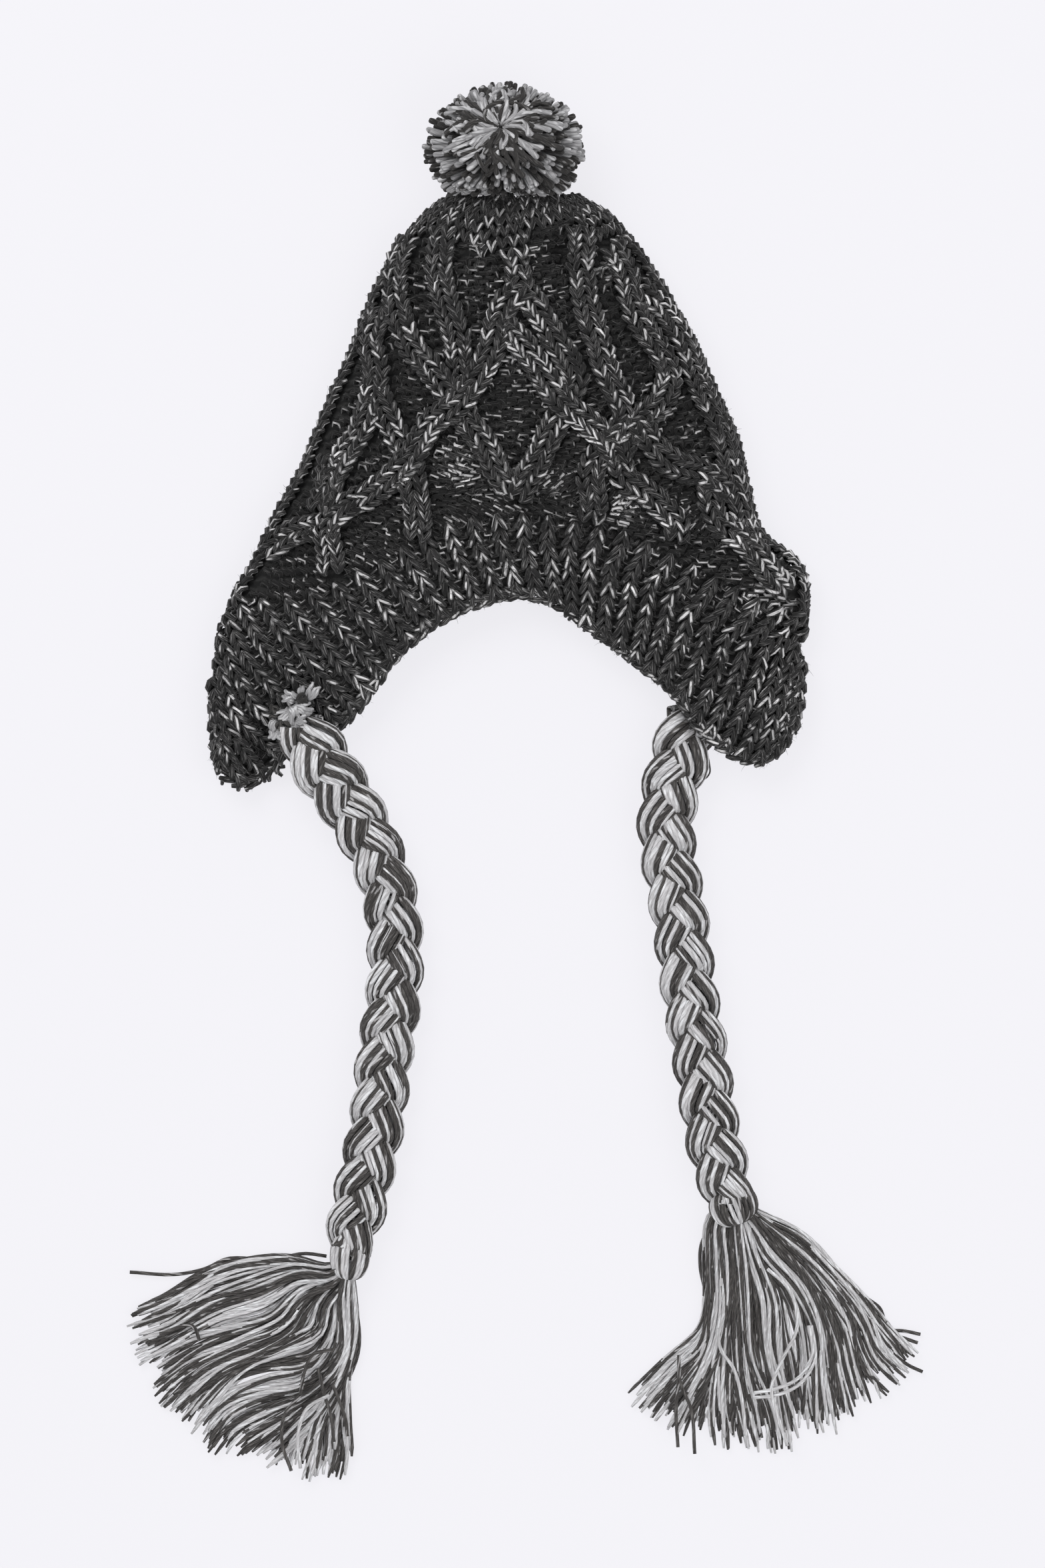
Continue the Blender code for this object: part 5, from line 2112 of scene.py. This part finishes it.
@dataclass
class Studio:
    """Pale floor, soft light and the camera over the hat."""

    middle: tuple = (0.004875, -0.13225)
    frame_height: float = 0.588
    distance: float = 3.0
    sensor: float = 24.0
    clip: tuple = (0.05, 50.0)
    floor_half: float = 6.0
    floor_drop: float = 0.0004
    floor_colour: tuple = (0.12, 0.119, 0.122)
    floor_glow: tuple = (0.913, 0.905, 0.947)
    glow: float = 0.845
    key_light: tuple = ((-0.7, 0.9, 1.5), 1.1, 15.0)
    fill_light: tuple = ((0.9, -0.6, 1.4), 1.4, 8.0)
    aim: tuple = (0.0, -0.1, 0.0)
    room_colour: tuple = (0.97, 0.98, 1.0)
    room_strength: float = 0.72

    def build(self) -> None:
        """Build the camera, the floor, the lights and the room."""
        scene = bpy.context.scene
        camera = bpy.data.cameras.new("camera")
        camera.sensor_fit = "VERTICAL"
        camera.sensor_height = self.sensor
        camera.lens = self.sensor * self.distance / self.frame_height
        camera.clip_start, camera.clip_end = self.clip
        eye = link_object("camera", camera)
        eye.location = (*self.middle, self.distance)
        scene.camera = eye
        self.floor()
        self.lamp("key_light", *self.key_light)
        self.lamp("fill_light", *self.fill_light)
        world = bpy.data.worlds.new("soft_room")
        world.use_nodes = True
        background = world.node_tree.nodes["Background"]
        background.inputs["Color"].default_value = (*self.room_colour, 1)
        background.inputs["Strength"].default_value = self.room_strength
        scene.world = world
        scene.view_settings.view_transform = "Standard"

    def floor(self) -> None:
        """Lay the floor, which glows a little to stay as pale as the photo's."""
        mesh = bpy.data.meshes.new("floor")
        half, low = self.floor_half, -self.floor_drop
        corners = [(-half, -half, low), (half, -half, low), (half, half, low), (-half, half, low)]
        mesh.from_pydata(corners, [], [(0, 1, 2, 3)])
        material, _, _ = new_material("pale_floor", {
            "Base Color": (*self.floor_colour, 1),
            "Roughness": 0.9,
            "Specular IOR Level": 0.1,
            "Emission Color": (*self.floor_glow, 1),
            "Emission Strength": self.glow,
        })
        mesh.materials.append(material)
        floor = link_object("floor", mesh)

    def lamp(self, name: str, place: tuple, size: float, power: float) -> None:
        """Hang one soft area light that faces the hat.

        Args:
            name: Name of the light.
            place: Where it hangs.
            size: Side of its square.
            power: Its power in watts.
        """
        light = bpy.data.lights.new(name, "AREA")
        light.shape = "SQUARE"
        light.size = size
        light.energy = power
        lamp = link_object(name, light)
        lamp.location = place
        lamp.rotation_euler = (Vector(self.aim) - Vector(place)).to_track_quat("-Z", "Y").to_euler()


def report(piece: bpy.types.Object) -> bpy.types.Object:
    """Log a piece's size.

    Args:
        piece: The piece.

    Returns:
        The same piece.
    """
    count = sum(len(face.vertices) - 2 for face in piece.data.polygons)
    LOG.info("%s: %d triangles", piece.name, count)
    return piece


def main() -> None:
    """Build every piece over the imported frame."""
    logging.basicConfig(level=logging.INFO, format="%(message)s")
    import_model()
    Studio().build()
    finishes = Finishes()
    surface = HatSurface()
    left_tie = Tie(
        Braid(Side.LEFT, LEFT_ROUTE, seed=3, start_share=0.74, start_phase=-0.25, swell=1.20),
        Tassel(Side.LEFT, LEFT_LOCKS, LEFT_STRAYS, root=(-0.0606, -0.3105), seed=21),
        TieEnd(
            Side.LEFT, centre=(-0.0596, -0.3083, 0.0074), heading=265.0, half_length=0.0088,
            half_width=0.0068, half_depth=0.0062, dark_share=0.30, seed=61,
        ),
        Knot(Side.LEFT, LEFT_TUFTS, height=0.0178, seed=41),
    )
    right_tie = Tie(
        Braid(Side.RIGHT, RIGHT_ROUTE, seed=6, start_phase=0.72, swell=1.08, loose_loop=RIGHT_LOOP),
        Tassel(Side.RIGHT, RIGHT_LOCKS, RIGHT_STRAYS, root=(0.0846, -0.2888), seed=22),
        TieEnd(
            Side.RIGHT, centre=(0.0838, -0.2900, 0.0074), heading=292.0, half_length=0.0066,
            half_width=0.0086, half_depth=0.0060, dark_share=0.75, seed=62,
        ),
        Knot(Side.RIGHT, RIGHT_TUFTS, height=0.0080, seed=42),
    )
    for tie in (left_tie, right_tie):
        tie.build(finishes)
    knitters = {layer: [] for layer in Layer}
    knitted = [report(piece) for piece in Crown(surface).build(finishes, knitters)]
    knitted += [report(piece) for piece in RibbedBand(surface).build(finishes, knitters)]
    for layer, fuzz in (
        (Layer.FRONT, Fuzz("hat_fuzz_front", count=9000, seed=81)),
        (Layer.BACK, Fuzz("hat_fuzz_back", count=5000, seed=82)),
    ):
        laid = np.concatenate([line for knitter in knitters[layer] for line in knitter.laid])
        facing = np.concatenate([out for knitter in knitters[layer] for out in knitter.facing])
        knitted.append(report(fuzz.build(laid, facing, Knitter.yarn_width / 2, finishes)))
    lining = report(Lining(surface).build(finishes))
    for piece in knitted + [lining]:
        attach(piece, "root")
    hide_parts("crown", "rib_band_front", "rib_band_back", "ear_flap_left", "ear_flap_right")
    pompom = report(Pompom().build(finishes))
    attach(pompom, "root")
    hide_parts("pompom")


if __name__ == "__main__":
    main()
